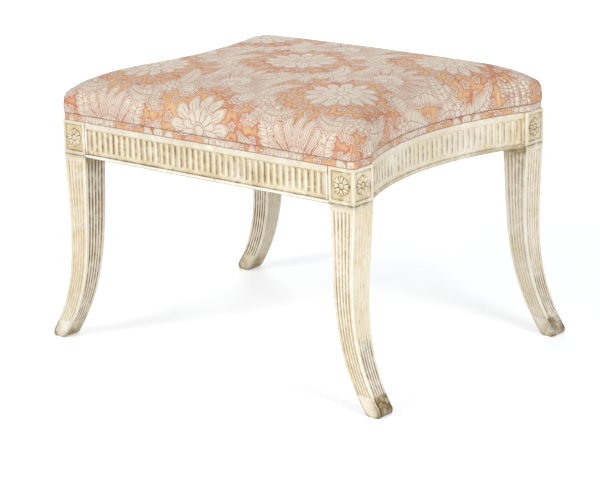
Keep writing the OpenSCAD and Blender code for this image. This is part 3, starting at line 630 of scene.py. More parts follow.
side_span = 2*(block_in_x - fit_gap)
run, out, height, shares = rail_surface(side_span, flute_count(side_span - 2*end_fillet_w), rail_setback)
for rail_name, side in (("front", -1), ("back", 1)):
    points = np.stack([run, side*(half_d - rail_setback - rail_t + out), height], -1)/1000
    rail = ring_piece("painted_rail_" + rail_name, points, shares, cream_paint, side < 0)
    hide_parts("rail_" + rail_name)
    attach(rail, "root")

# The concave rails follow one circle, and are cut square where they meet the blocks. Their friezes
# are wiped cleaner, which partly paints light on these sides, and the ochre is left on the bead and beside
# the blocks, with painted shade on the bead's underside.
end_span = 2*(block_in_y - fit_gap)
face_r = end_r + frieze_sink
face_span = 2*math.asin(end_span/2/face_r)*face_r
end_length = 2*math.asin(block_in_y/end_r)*face_r
run, out, height, shares = rail_surface(face_span, flute_count(end_length - 2*end_fillet_w), 0)
radius = end_r + rail_t - out
bead_glaze_and_shade = as_share(3.2 - (height - rail_bottom)/2.2)*(out > rail_t - 4)
bead_glaze_and_shade = bead_glaze_and_shade*(0.4 + 0.6*fading(face_span/2 - abs(run), 110))
near_block = fading(face_span/2 - abs(run), 30)*(out > rail_t - 6)
# Less glaze and umber on the friezes, partly a painted lightening; ochre and painted shade on the bead
shares["glaze"] = highest([shares["glaze"]*0.3, 0.2*(out > rail_t - 1), bead_glaze_and_shade, near_block])
shares["crevice"] = np.maximum(shares["crevice"]*0.56, 0.42*bead_glaze_and_shade)
shares["rub_and_highlight"] = shares["rub_and_highlight"]*(1 - 0.9*bead_glaze_and_shade)*(1 - 0.7*near_block)
turn = run/face_r*np.arcsin(end_span/2/radius)/math.asin(end_span/2/face_r)
for rail_name, side in (("right", 1), ("left", -1)):
    points = np.stack([side*(end_c - radius*np.cos(turn)), radius*np.sin(turn), height], -1)/1000
    rail = ring_piece("painted_rail_" + rail_name, points, shares, cream_paint, side > 0)
    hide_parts("rail_" + rail_name)
    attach(rail, "root")

# Rosettes. A carved flower of eight petals round a turned boss, glued on the floor of each
# sunk panel before the gesso went on.
rosette_d, rosette_h, petals = 32, 3, 8


def rosette_surface():
    """Rings of a flower from its rim to its middle, standing on z = 0, and its shares: a petal's height is
    an arch across it times an arch along it, with a drilled hole between petals, and the boss is half an
    ellipsoid in a ring-shaped hollow."""
    share = np.concatenate([[1, 1], np.linspace(0.985, 0.36, 20), np.linspace(0.33, 0.03, 9)])[:, None]
    turn = np.linspace(0, 2*np.pi, 144, endpoint=False)[None, :]
    across = abs(np.cos(turn*petals/2))
    r = share*rosette_d/2*(0.85 + 0.15*across**0.6)
    arch = np.sin(np.pi*as_share((share - 0.3)/0.72))**0.6
    rib = bell(1 - across, 0.03)*as_share((share - 0.45)/0.3)
    petal = 0.35 + 2.1*arch*across**0.5*(1 - 0.3*rib)
    drilled = np.exp(-((share - 0.44)/0.07)**2 - (across/0.4)**2)
    petal = petal - 1.1*drilled
    boss = rosette_h*np.sqrt(as_share(1 - (share/0.27)**2))
    centre = bell(share, 0.09)*np.ones_like(petal)
    height = np.maximum(np.where(share < 0.34, 0.4, petal), np.maximum(boss - 1.2*centre, 0.15))
    height[0] = 0
    flat = np.stack([r*np.cos(turn), r*np.sin(turn)], -1)
    # Umber in the ring round the boss, the drilled holes, the boss's hole, round the rim, along the petals'
    # ribs and between petals is dirt and painted shade; white on the highest parts is rubbed paint and a
    # painted highlight
    ring = bell(share - 0.31, 0.035)*np.ones_like(height)
    glaze = np.clip(1.35 - height/2.4, 0.4, 1)
    rim = 0.8*bell(share - 1, 0.03)
    crevice = highest([ring, drilled, centre, rim, 0.75*rib, as_share(1 - across/0.34)*(share > 0.34)])
    rub_and_highlight = as_share(height/rosette_h*1.3 - 0.62)*(1 - centre)*(1 - rib)
    return flat, height, {"glaze": glaze, "crevice": as_share(crevice), "rub_and_highlight": rub_and_highlight}


flat, height, shares = rosette_surface()
for corner_name, x_side, y_side in CORNERS:
    on_side = np.stack([panel_x + flat[..., 0], half_d - panel_sink + height, panel_z + flat[..., 1]], -1)
    on_end = np.stack([half_w - panel_sink + height, panel_y + flat[..., 0], panel_z + flat[..., 1]], -1)
    for title, spots, turned in (("side", on_side, x_side*y_side > 0), ("end", on_end, x_side*y_side < 0)):
        rosette = ring_piece("carved_rosette_" + corner_name + "_" + title, spots*[x_side, y_side, 1]/1000,
                             shares, cream_paint, turned, 60)
        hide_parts("rosette_" + corner_name + "_" + title)
        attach(rosette, "root")

# Corner braces. Blocks of plain beech are cut to fit between two rails and round the corner
# block, left unpainted, and held by two slotted wood screws each.


def bare_beech():
    """Sawn beech: long pores along the grain, short darker flecks and a little dirt."""
    material, tree, shader = finish_nodes("bare_beech", 0.62)
    place = place_of(tree, (1, 1, 0.08))
    grain = cloudy(tree, place, 160, 5, 0.6, 1.2)
    fleck = ((cloudy(tree, place_of(tree, (1, 1, 0.2)), 900, 2, 0.5) - 0.6)*7).share()
    age = cloudy(tree, place_of(tree), 18, 3, 0.5)
    wood = blended(tree, grain, from_screen(196, 160, 116), from_screen(222, 190, 146))
    wood = blended(tree, fleck*0.5, wood, from_screen(142, 104, 66))
    wood = blended(tree, ((age - 0.4)*1.4).share()*0.4, wood, from_screen(150, 120, 86))
    tree.links.new(wood, shader.inputs["Base Color"])
    tree.links.new((0.55 + grain*0.2).share().socket, shader.inputs["Roughness"])
    raised(tree, shader, grain - fleck*0.5, 0.0003)
    return material


def worked_iron(name, light, dark, roughness):
    """Iron with a dull skin: cloudy patches of a darker oxide and fine scratches."""
    material, tree, shader = finish_nodes(name, roughness, metallic=0.85)
    place = place_of(tree)
    patches = cloudy(tree, place, 300, 4, 0.6)
    scratches = cloudy(tree, place_of(tree, (1, 0.1, 1)), 2400, 2, 0.5)
    skin = blended(tree, ((patches - 0.35)*2.2).share(), light, dark)
    tree.links.new(skin, shader.inputs["Base Color"])
    tree.links.new((patches*0.35 + (roughness - 0.15)).share().socket, shader.inputs["Roughness"])
    raised(tree, shader, scratches, 0.0001)
    return material


def finish_node(node, material):
    """Gives a piece that shows as it was built its own finish."""
    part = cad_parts[node]
    part.data.materials.clear()
    part.data.materials.append(material)


beech = bare_beech()
screw_iron = worked_iron("screw_iron", from_screen(150, 146, 138), from_screen(92, 84, 74), 0.42)
for corner_name, x_side, y_side in CORNERS:
    finish_node("corner_brace_" + corner_name, beech)
finish_node("brace_screws", screw_iron)

# Webbing. Four long and five cross straps of linen and jute webbing, woven over and under
# each other, with a blue line near both edges, tacked down on the rebated ledge.
long_webs, cross_webs = 4, 5
long_web_edge, cross_web_edge = 115, 129
# The weave in metres: the chevrons' width and pitch, and a blue line's width and place from the middle
chevron_w, chevron_pitch, blue_line_w, blue_line_place = 0.008, 0.0022, 0.0024, 0.018


def web_cloth(name, across, first, pitch):
    """Herringbone webbing for straps side by side. across is the axis across them, 0 or 1, first is the
    middle of one and pitch the distance to the next, in metres."""
    material, tree, shader = finish_nodes(name, 0.85)
    axes = axes_of(tree, place_of(tree))
    over, along = axes[across], axes[1 - across]
    middle = (((over - first)/pitch + 0.5).fraction() - 0.5)*pitch
    zigzag = abs((middle/chevron_w).fraction() - 0.5)*(chevron_w/2) + along
    chevron = (zigzag*(math.tau/chevron_pitch)).sine()*0.5 + 0.5
    stripe = ((blue_line_w/2 - abs(abs(middle) - blue_line_place))/0.0003).share()
    worn = cloudy(tree, place_of(tree), 60, 4, 0.6)
    cloth = blended(tree, chevron*0.6 + worn*0.4, from_screen(146, 120, 84), from_screen(202, 182, 146))
    cloth = blended(tree, stripe*0.75, cloth, from_screen(52, 60, 84))
    tree.links.new(cloth, shader.inputs["Base Color"])
    raised(tree, shader, chevron, 0.0004)
    return material


long_pitch = 2*(half_d - long_web_edge)/(long_webs - 1)/1000
cross_pitch = 2*(half_w - cross_web_edge)/(cross_webs - 1)/1000
long_cloth = web_cloth("long_webbing", 1, (long_web_edge - half_d)/1000, long_pitch)
cross_cloth = web_cloth("cross_webbing", 0, (cross_web_edge - half_w)/1000, cross_pitch)
for count in range(long_webs):
    finish_node("webbing_long_" + str(count + 1), long_cloth)
for count in range(cross_webs):
    finish_node("webbing_cross_" + str(count + 1), cross_cloth)
tack_iron = worked_iron("blued_tack_iron", from_screen(96, 94, 96), from_screen(58, 54, 52), 0.5)
finish_node("webbing_tacks", tack_iron)

# Hessian. One sheet of open jute cloth stretched over the webbing to carry the stuffing.
wall_h, cover_t, soft_gap, hessian_t, web_t = 41, 1.2, 0.2, 0.6, 1
hessian_z = frame_h + ledge_h + 2*web_t + 2*soft_gap
hessian_wall, ripple_h = 0.0005, 0.04
arc_points, cheek_points, corner_points, side_points = 84, 9, 15, 60


def mirrored(quarter):
    """A closed outline, or several, from the quarter that runs from the X axis to the Y axis."""
    return np.concatenate([quarter, quarter[..., -2::-1, :]*[-1, 1], quarter[..., 1:, :]*[-1, -1],
                           quarter[..., -2:0:-1, :]*[1, -1]], -2)


def seat_outline(inset):
    """The seat's outline in plan at insets: the concave arc, a straight cheek, a round corner and a straight
    side, for one quarter and then mirrored to four. Gives an array of insets by points by X and Y."""
    inset = np.atleast_1d(np.asarray(inset, float))[:, None]
    r, w, d = end_r + inset, half_w - inset, half_d - inset
    corner = np.maximum(corner_r - inset, corner_r/2)
    meet = np.sqrt(r**2 - (end_c - w)**2)
    y = meet*(1 - (1 - np.linspace(0, 1, arc_points))**1.6)
    arc = np.stack([arc_x(r, y), y], -1)
    y = meet + (d - corner - meet)*np.linspace(0, 1, cheek_points)[1:-1]
    cheek = np.stack([w + 0*y, y], -1)
    turn = np.radians(np.linspace(0, 90, corner_points))
    bend = np.stack([w - corner + corner*np.cos(turn), d - corner + corner*np.sin(turn)], -1)
    x = (w - corner)*np.linspace(1, 0, side_points)[1:]
    side = np.stack([x, d + 0*x], -1)
    return mirrored(np.concatenate([arc, cheek, bend, side], 1))


quarter_points = arc_points + cheek_points - 2 + corner_points + side_points - 1
mitre_point = arc_points + cheek_points - 2 + corner_points//2


def pad_surface(insets, heights, shares):
    """Rings over the seat's outline. Each has an inset, a height, which may vary round it, and a share by
    which it draws in towards the middle."""
    flat = seat_outline(insets)*np.asarray(shares, float)[:, None, None]
    heights = np.asarray(heights, float)
    heights = heights[:, None] if heights.ndim == 1 else heights
    return np.concatenate([flat, (heights*np.ones(flat.shape[:2]))[..., None]], -1)


def open_weave(name, thread, light, dark, fuzz):
    """Plain woven cloth with threads at a spacing in metres, uneven in thickness and colour."""
    material, tree, shader = finish_nodes(name, 0.9, sheen_weight=0.15, sheen_roughness=0.5)
    x, y = axes_of(tree, place_of(tree))[:2]
    slub = cloudy(tree, place_of(tree, (1, 0.06, 1)), 500, 3, 0.6)
    slub_across = cloudy(tree, place_of(tree, (0.06, 1, 1)), 500, 3, 0.6)
    warp = abs((x*(math.pi/thread)).sine())
    weft = abs((y*(math.pi/thread)).sine())
    weave = (warp*weft).power(0.5)
    tone = (slub*0.5 + slub_across*0.5 - 0.2)*1.5
    cloth = blended(tree, (weave*0.35 + tone*0.65).share(), dark, light)
    specks = ((cloudy(tree, place_of(tree), 1400, 2, 0.5) - 0.66)*12).share()
    tree.links.new(blended(tree, specks*fuzz, cloth, dark), shader.inputs["Base Color"])
    raised(tree, shader, weave*0.7 + tone*0.3, 0.0005)
    return material


def sheet_area(piece):
    """Area of a sheet in square metres, before it has its thickness."""
    areas = np.empty(len(piece.data.polygons))
    piece.data.polygons.foreach_get("area", areas)
    return float(areas.sum())


def thicken(piece, thickness, side):
    """Gives a sheet its thickness in metres, towards a side of its faces."""
    wall = piece.modifiers.new("thickness", "SOLIDIFY")
    wall.thickness = thickness
    wall.offset = side


jute = open_weave("jute_hessian", 0.0022, from_screen(206, 178, 132), from_screen(140, 106, 66), 0.6)
hessian_inset = ledge_sink + cover_t
rings = np.linspace(1, 0.04, 14)
ripple = ripple_h*np.sin(np.arange(4*(quarter_points - 1))*2*np.pi/quarter_points)
points = pad_surface(0*rings + hessian_inset, hessian_z + hessian_t/2 + ripple[None, :]*rings[:, None], rings)
sheet = ring_piece("jute_hessian", points/1000, {}, jute, caps=(False, True))
thicken(sheet, hessian_wall, 0)
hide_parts("hessian")
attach(sheet, "root")
sheet_area(sheet)

# First stuffing. Curled hair in a linen scrim, pulled square along its edge by rows of
# stitches, with a few ties through its middle that hold it to the hessian.
side_swell, crown_h, shoulder_rise = 1.2, 10, 36
end_shoulder_w, side_shoulder_w = 62, 118
stuffing_z = hessian_z + hessian_t + soft_gap
split_z = frame_h + wall_h - side_swell*3
stuffing_inset, roll_inset, roll_out = 2.8, 2.6, 1.0
tie_pitch, tie_w, tie_depth, tie_reach_x, tie_reach_y = 95, 11, 3.2, 230, 190
stitch_share, stitch_w_share, stitch_depth = 0.955, 0.012, 2.2


def first_stuffing_surface():
    """Rings from the underside's middle round the edge to the top's middle. The edge is two rolls, each half
    a sine wave out, and every tie is a dimple shaped like a bell."""
    low, high = stuffing_z + 0.1, split_z - soft_gap - 0.1
    under = np.linspace(0.05, 0.985, 12)
    up = np.linspace(0, 1, 21)
    over = np.array([0.993, 0.98, 0.965, 0.95, 0.93, 0.9, 0.86, 0.82, 0.78, 0.72, 0.66, 0.6, 0.54, 0.48,
                     0.42, 0.36, 0.3, 0.24, 0.18, 0.12, 0.05])
    roll = roll_inset - roll_out*abs(np.sin(2*np.pi*up))
    shares = np.concatenate([under, np.ones(len(up)), over])
    insets = np.concatenate([0*under + stuffing_inset, roll, 0*over + stuffing_inset])
    heights = np.concatenate([0*under + low, low + 0.6 + (high - low - 1.2)*up, 0*over + high])
    points = pad_surface(insets, heights, shares)
    x, y = points[..., 0], points[..., 1]
    off_x = abs((x/tie_pitch + 0.5) % 1 - 0.5)*tie_pitch
    off_y = abs((y/tie_pitch + 0.5) % 1 - 0.5)*tie_pitch
    tie = bell(np.hypot(off_x, off_y), tie_w)*(abs(x) < tie_reach_x)*(abs(y) < tie_reach_y)
    top = np.arange(len(shares)) >= len(under) + len(up)
    stitched = bell(shares - stitch_share, stitch_w_share)[:, None]
    points[..., 2] -= top[:, None]*(tie_depth*tie + stitch_depth*stitched)
    return points


scrim = open_weave("linen_scrim", 0.0016, from_screen(222, 208, 176), from_screen(172, 150, 112), 0.35)
pad = ring_piece("first_stuffing_pad", first_stuffing_surface()[:, ::2]/1000, {}, scrim, sharp=70)
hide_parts("first_stuffing")
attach(pad, "root")

# Top stuffing. A thinner layer of soft hair under cotton wadding, which gives the seat its
# crown and is held only by the cover.
blend_r, blend_reach = 7, 30
under_cover, lump_h = 2, 0.8


def round_up(share):
    """A quarter ellipse: 0 at 0, steep at first and level at 1."""
    return np.sqrt(np.maximum(1 - (1 - np.minimum(share, 1))**2, 0))


def seat_z(x, y, inset):
    """Height of the seat over a point: a low crown, a parabola each way, and at every edge a shoulder that
    rises as a quarter ellipse of the distance from the edge. Where the cheek meets the concave arc, the lower
    of the two distances is rounded off by a parabola."""
    from_side = half_d - inset - abs(y)
    from_end = half_w - inset - abs(x)
    from_arc = np.sqrt((end_c - abs(x))**2 + y**2) - end_r - inset
    nearer = np.minimum(from_end, from_arc)
    blend = blend_r*fading(np.maximum(nearer, 0), blend_reach)
    gap = np.maximum(blend - abs(from_end - from_arc), 0)
    from_end = nearer - gap**2/(4*blend + 1e-9)*as_share(nearer/8)
    crown = crown_h*np.maximum(1 - (x/half_w)**2, 0)*np.maximum(1 - (y/half_d)**2, 0)
    rise = shoulder_rise*round_up(np.maximum(from_end, 0)/end_shoulder_w)
    return frame_h + wall_h - inset + crown + rise*round_up(np.maximum(from_side, 0)/side_shoulder_w)


def crown_shares(count):
    """Shares of the outline from the edge to near the middle, closer together at the edge."""
    return 1 - ((np.arange(count) + 0.35)/(count - 0.2))**1.9


def top_stuffing_surface():
    """Rings from the underside's middle to the top's middle, 3 mm inside the cover, lumpy by sine waves."""
    inset = cover_t + soft_gap + under_cover
    under = np.linspace(0.05, 0.985, 8)
    over = crown_shares(26)
    shares = np.concatenate([under, [1, 1], over])
    points = pad_surface(0*shares + inset, 0*shares, shares)
    x, y = points[..., 0], points[..., 1]
    lumps = np.sin(x/17)*np.sin(y/23 + 1)*(1 - shares[:, None])**0.3
    points[..., 2] = seat_z(x, y, inset) + lump_h*lumps
    points[:len(under) + 1, :, 2] = split_z + 0.1
    points[len(under) + 1, :, 2] = split_z + 1.2
    return points


def wadding():
    """Cotton wadding: matted pale fibres with a few dark hairs."""
    material, tree, shader = finish_nodes("cotton_wadding", 0.95, sheen_weight=0.3)
    mat_fibre = cloudy(tree, place_of(tree), 260, 6, 0.7, 2.5)
    lump = cloudy(tree, place_of(tree), 30, 3, 0.5)
    hair = ((cloudy(tree, place_of(tree, (1, 0.15, 1)), 700, 2, 0.5, 3.0) - 0.67)*14).share()
    matted = mat_fibre*0.7 + lump*0.3
    cotton = blended(tree, matted.share(), from_screen(206, 196, 176), from_screen(240, 234, 220))
    tree.links.new(blended(tree, hair*0.4, cotton, from_screen(96, 78, 60)), shader.inputs["Base Color"])
    raised(tree, shader, matted, 0.002)
    return material


pad = ring_piece("top_stuffing_pad", top_stuffing_surface()[:, ::2]/1000, {}, wadding(), sharp=70)
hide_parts("top_stuffing")
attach(pad, "root")

# Seat cover. One piece of silk and cotton damask with silvery figures on an apricot ground,
# pulled tight over the stuffing and down the sides, and tacked in the rebate.
cover_rows = 58
edge_round = 9
fold_pitch, fold_take_up, fold_out, fold_in = 9, 2.2, 1.5, 2.4
gather_y, gather_w, gather_rise_share = 190, 32, 0.09
held_rows, most_swell, cover_pressure = 4, 0.002, 2.0


def outward(outline):
    """Unit vectors that point out of a closed outline at each of its points."""
    step = np.roll(outline, -3, 0) - np.roll(outline, 3, 0)
    away = np.stack([step[:, 1], -step[:, 0]], -1)
    return away/np.linalg.norm(away, axis=1)[:, None]


def spare_cloth(distance, width, rise):
    """Extra length of cloth that a shoulder of a width and rise takes up, at a distance from the edge."""
    run = 1 - np.linspace(0, 1, 400)**2
    height = rise*round_up(run)
    length = np.cumsum(np.hypot(np.diff(run*width), np.diff(height)))
    extra = np.concatenate([[0], length]) - width*(1 - run)
    return np.interp(as_share(distance/width), run[::-1], extra[::-1])


def cover_surface():
    """Rings from the cover's lower edge up its side and over the crown, with each point's place in the flat
    cloth in metres and its share of painted shade. Near the corners of the concave sides the cloth is
    gathered in upright sine folds, whose valleys are painted darker, and a painted shadow runs just above
    the bands."""
    z = np.array([frame_h + soft_gap, frame_h + 4, frame_h + 8, frame_h + ledge_h + soft_gap])
    tucked = ledge_sink - soft_gap - cover_t
    rise = np.concatenate([[0.04], np.linspace(0, 1, 10)[1:]])
    wall_z = z[-1] + (frame_h + wall_h - edge_round - z[-1])*rise
    swell = -side_swell*np.sin(np.pi*as_share(rise*0.93 + 0.07))**0.5
    insets = np.concatenate([0*z + tucked, swell])
    heights = np.concatenate([z, wall_z])
    shares = crown_shares(cover_rows)
    side = pad_surface(insets, heights, np.ones(len(insets)))
    crown = pad_surface(0*shares, 0*shares, shares)
    edge = seat_outline(0)[0]
    away = outward(edge)
    inward = (1 - shares[:, None])*(edge*away).sum(1)
    short = np.maximum(edge_round - inward, 0)
    crown[..., 2] = seat_z(crown[..., 0], crown[..., 1], 0) - edge_round + np.sqrt(edge_round**2 - short**2)
    points = np.concatenate([side, crown])
    cloth = crown[..., :2].copy()
    x, y = abs(cloth[..., 0]), abs(cloth[..., 1])
    from_end = np.minimum(half_w - x, np.sqrt((end_c - x)**2 + y**2) - end_r)
    cloth[..., 0] += np.sign(cloth[..., 0])*spare_cloth(from_end, end_shoulder_w, shoulder_rise)
    cloth[..., 1] += np.sign(cloth[..., 1])*spare_cloth(half_d - y, side_shoulder_w, shoulder_rise)
    cloth += away[None]*(edge_round*np.arcsin(short/edge_round) - short)[..., None]
    drop = (frame_h + wall_h - edge_round - heights)[:, None, None]
    cloth = np.concatenate([cloth[:1] + away[None]*drop, cloth])
    along = abs(edge[:, 1])
    on_end = along < half_d - 14
    near = bell(along - gather_y, gather_w)*on_end
    level = np.concatenate([as_share(rise*3), bell(1 - shares, gather_rise_share)])
    level = np.concatenate([0*z, level])
    phase = along*np.pi/fold_pitch + 0.6*np.sin(along/7)
    fold = (fold_out - fold_in*abs(np.cos(phase))**3)*near
    points[..., :2] += away[None]*fold[None, :, None]*level[:, None, None]
    aside = np.stack([-away[:, 1], away[:, 0]], -1)*(np.sin(2*phase)*near)[:, None]
    cloth += fold_take_up*aside[None]*level[:, None, None]
    # Painted shade in the folds' valleys and in a thin line just above the bands
    in_fold = 0.5*(abs(np.cos(phase))**8*near)[None]*level[:, None]
    above_band = bell(heights - z[-1], 0.9)
    above_band = np.concatenate([above_band, 0*shares])[:, None]*(0.4 + 0.6*on_end)
    return points/1000, cloth/1000, {"painted_crease_shade": np.maximum(in_fold, above_band)}


def of_points(mesh, title, shape):
    """The vectors that a mesh made by ring_piece holds for its rings' points."""
    vectors = np.empty(len(mesh.vertices)*3)
    mesh.vertices.foreach_get(title, vectors)
    return vectors[:math.prod(shape)].reshape(shape)


def pull_tight(points):
    """The cover's points after cloth simulation: pressure from the stuffing swells it above its held lower
    rows. No point moves by more than 2 mm, or inwards, where the stuffing is."""
    draft = ring_piece("cover_draft", points, {}, None, caps=(False, True))
    count = points.shape[1]
    held = draft.vertex_groups.new(name="held")
    held.add(list(range(held_rows*count)), 1, "REPLACE")
    cloth = draft.modifiers.new("cloth", "CLOTH")
    cloth.settings.quality = 6
    cloth.settings.mass = 0.25
    cloth.settings.tension_stiffness = 22
    cloth.settings.compression_stiffness = 22
    cloth.settings.shear_stiffness = 12
    cloth.settings.bending_stiffness = 1.2
    cloth.settings.vertex_group_mass = "held"
    cloth.settings.use_pressure = True
    cloth.settings.uniform_pressure_force = cover_pressure
    cloth.settings.effector_weights.gravity = 0
    cloth.collision_settings.use_collision = False
    for moment in range(1, 21):
        bpy.context.scene.frame_set(moment)
    settled = draft.evaluated_get(bpy.context.evaluated_depsgraph_get()).to_mesh()
    moved = of_points(settled, "co", points.shape) - points
    away = of_points(draft.data, "normal", points.shape)
    moved = moved - np.minimum((moved*away).sum(2, keepdims=True), 0)*away
    far = np.linalg.norm(moved, axis=2, keepdims=True)
    bpy.context.scene.frame_set(1)
    bpy.data.objects.remove(draft)
    return points + moved*np.minimum(1, most_swell/np.maximum(far, 1e-9))


# The damask's line width, its repeat and the small blossoms' pitch, in millimetres
line_w = 1.1
repeat_w, repeat_h = 196.0, 284.0
blossom_w, blossom_h = 22, 28.4


def edge(distance, soft=0.4):
    """1 where the distance inside a shape is over 0, with a soft edge."""
    return (distance/soft + 0.5).share()


def laid(below, distance, lines):
    """Lays a shape over what is below: its outline, another line inside that and its own lines hide the
    lines under it, and the shade that it throws on the ground reaches 5 mm beyond it."""
    figure, drawn, shade = below
    on = edge(distance)
    rim = edge(line_w/2 - abs(abs(distance - 2.2) - 1.6))
    return figure.high(on), (drawn*(1 - on)).high(rim).high(lines*on), shade.high((distance/5 + 1).share())


def petalled(x, y, turn, count, outer, notch, point=0.5):
    """Distance inside a flower with round or pointed petals, the radius, and the place across a petal, -0.5
    to 0.5."""
    r = (x*x + y*y).root()
    across = ((x.angle_to(y) + turn)*(count/math.tau) + 0.5).fraction() - 0.5
    reach = (1 - notch + notch*(across*3.1).cosine().high(0.0).power(point))*outer
    return reach - r, r, across


def leaf(cloth, x, y, foot, tip, wide, bend, teeth, cut=0.3):
    """Lays a bent leaf with a toothed edge, a rib and veins from its foot to its tip. cut is the share of its
    width that the teeth reach."""
    lx, ly = tip[0] - foot[0], tip[1] - foot[1]
    length = math.hypot(lx, ly)
    ux, uy = lx/length, ly/length
    p = ((x - foot[0])*ux + (y - foot[1])*uy)/length
    bow = (p*(1 - p)*4).high(0.0)
    q = abs((y - foot[1])*ux - (x - foot[0])*uy - bow*(bend*length))
    tooth = (p*teeth - q*(0.45*teeth/length)).fraction()
    half = bow.power(0.55)*wide*((tooth*(1 - tooth)*4).power(0.45)*cut + (1 - cut))*(1.3 - p*0.6) - 0.6
    veins = edge(0.6 - abs(tooth - 0.5)*(length/teeth*0.9))*edge(half - 3 - q)
    return laid(cloth, half - q, edge(0.7 - q).high(veins*0.8))


def bud(cloth, x, y, place, turn, long, wide):
    """Lays a pomegranate bud: a drop with rows of scales and an inner drop drawn in it."""
    c, s = math.cos(turn), math.sin(turn)
    p = ((x - place[0])*c + (y - place[1])*s)/long
    q = ((y - place[1])*c - (x - place[0])*s)/wide
    r = (p*p + q*q*(1.25 - p*0.55).high(0.5)).root()
    inner = edge(0.7 - abs(r - 0.62)*wide)
    ray = (p + 0.55).angle_to(q)
    seeds = (ray*3.2 + 0.5).fraction()
    hatch = edge(0.65 - abs(seeds - 0.5)*wide*0.36)*edge((r - 0.66)*wide)
    scales = edge(0.6 - abs(((p*4.2 + abs(q*2.2)).fraction() - 0.5)*wide*0.34))*edge((0.56 - r)*wide)
    return laid(cloth, (1 - r)*wide, inner.high(hatch*0.8).high(scales*0.8))


def damask_pattern(u, v):
    """Figure, line and shade shares of the damask at a place in millimetres: laurel on a wavy lattice, ferns,
    buds, small blossoms, fans of fronds and large open flowers, in mirrored half-drop repeats."""
    column = (u/repeat_w + 0.5).floor()
    odd = (column*0.5).fraction()
    x = abs(u - column*repeat_w)
    y = ((v/repeat_h + odd + 0.5).fraction() - 0.5)*repeat_h
    high = ((v/repeat_h + odd).fraction() - 0.5)*repeat_h
    cloth = (x*0.0, x*0.0, x*0.0)
    # Small blossoms of five petals on the open ground
    strip = (x/blossom_w + 0.5).floor()
    sx = ((x/blossom_w + 0.5).fraction() - 0.5)*blossom_w
    sy = ((y/blossom_h + strip*0.5 + 0.5).fraction() - 0.5)*blossom_h
    turn = strip*2.1 + (y/blossom_h).floor()*1.3
    distance, r, across = petalled(sx, sy, turn, 5, 9.4, 0.5, 0.7)
    cloth = laid(cloth, distance, edge(0.5 - abs(across)*r)*edge(6 - r))
    # Laurel along the lattice
    stem = (y*(math.tau/repeat_h)).cosine()*(repeat_w/2) + repeat_w/2
    slope = (y*(math.tau/repeat_h)).sine()*(math.pi*repeat_w/repeat_h)
    off = abs((x - stem)/(slope*slope + 1).root())
    step = (abs(y)/17 + off*0.07).fraction()
    lobe = (step*(1 - step)*4).power(0.6)*12 + 1.4
    vein = edge(0.7 - abs(step - 0.5)*14)*edge(lobe - 2.5 - off)
    cloth = laid(cloth, lobe - off, edge(0.7 - off).high(vein))
    # Ferns and buds on both sides of a column's edge
    for side, along, beside in ((x, y, high), (repeat_w - x, high, y)):
        cloth = leaf(cloth, side, beside, (64, -44), (88, 52), 19, 0.2, 9, 0.6)
        cloth = leaf(cloth, side, along, (100, -88), (78, 12), 21, -0.2, 10, 0.6)
        cloth = leaf(cloth, side, along, (90, -90), (18, -76), 17, 0.26, 9, 0.6)
        cloth = leaf(cloth, side, along, (94, 84), (88, 14), 15, 0.24, 8, 0.55)
        cloth = leaf(cloth, side, along, (74, 92), (20, 76), 13, -0.3, 7, 0.55)
        cloth = bud(cloth, side, along, (62, 74), -2.3, 29, 21)
    # Small blossom in each gap
    distance, r, across = petalled(x - repeat_w/2, abs(y) - repeat_h/4, 0.3, 8, 20, 0.34)
    cleft = edge((abs(across) - 0.45)*r*0.8 + 0.2)*edge(r - 7)
    cloth = laid(cloth, distance, edge(0.7 - abs(r - 7)).high(cleft))
    # Fan of fronds over a calyx
    rise = high + 36
    angle = x.angle_to(rise)
    r = (x*x + rise*rise).root()
    across = abs((angle*3.4 + 0.5).fraction() - 0.5)
    round_end = (across*3.0).cosine().high(0.0).power(0.5)
    reach = (angle*0.6).cosine()*(round_end*0.34 + 0.66)*86
    gap = (0.40 + r*0.0004 - across)*r*0.29
    inner = (angle*0.56).cosine()*(round_end*0.2 + 0.8)*40
    middle = edge(0.6 - across*r*0.3)*edge(reach - 9 - r)*edge(r - inner - 4)
    fan = (reach - r).low(gap.high(inner - r)).low((2.3 - angle)*r)
    cleft = edge((across - 0.46)*r*0.6 + 0.25)*edge(r - 12)*edge(inner - r)
    cloth = laid(cloth, fan, cleft.high(edge(0.7 - abs(r - inner))).high(middle*0.8))
    cloth = leaf(cloth, x, high, (5, -42), (62, -30), 15, -0.26, 8, 0.5)
    distance, r, across = petalled(x, rise, 0.0, 5, 17, 0.25)
    cloth = laid(cloth, distance, edge(0.7 - abs(r - 8)))
    # Open flower: two rounds of petals and a seeded heart
    distance, r, across = petalled(x, y, 0.0, 13, 62, 0.34, 0.75)
    across = abs(across)
    middle = edge(0.65 - abs(across - 0.15)*r*0.5)*edge(48 - r)*0.7
    cloth = laid(cloth, distance, edge((across - 0.44)*r*0.6 + 0.1).high(middle))
    distance, r, across = petalled(x, y, math.tau/26, 13, 37, 0.32, 0.7)
    cloth = laid(cloth, distance, edge((abs(across) - 0.44)*r*0.6 + 0.15))
    distance, r, across = petalled(x, y, 0.0, 16, 14, 0.12)
    seeds = edge(1.0 - ((r - 9)*(r - 9) + across*across*r*r*0.15).root())
    return laid(cloth, distance, seeds)


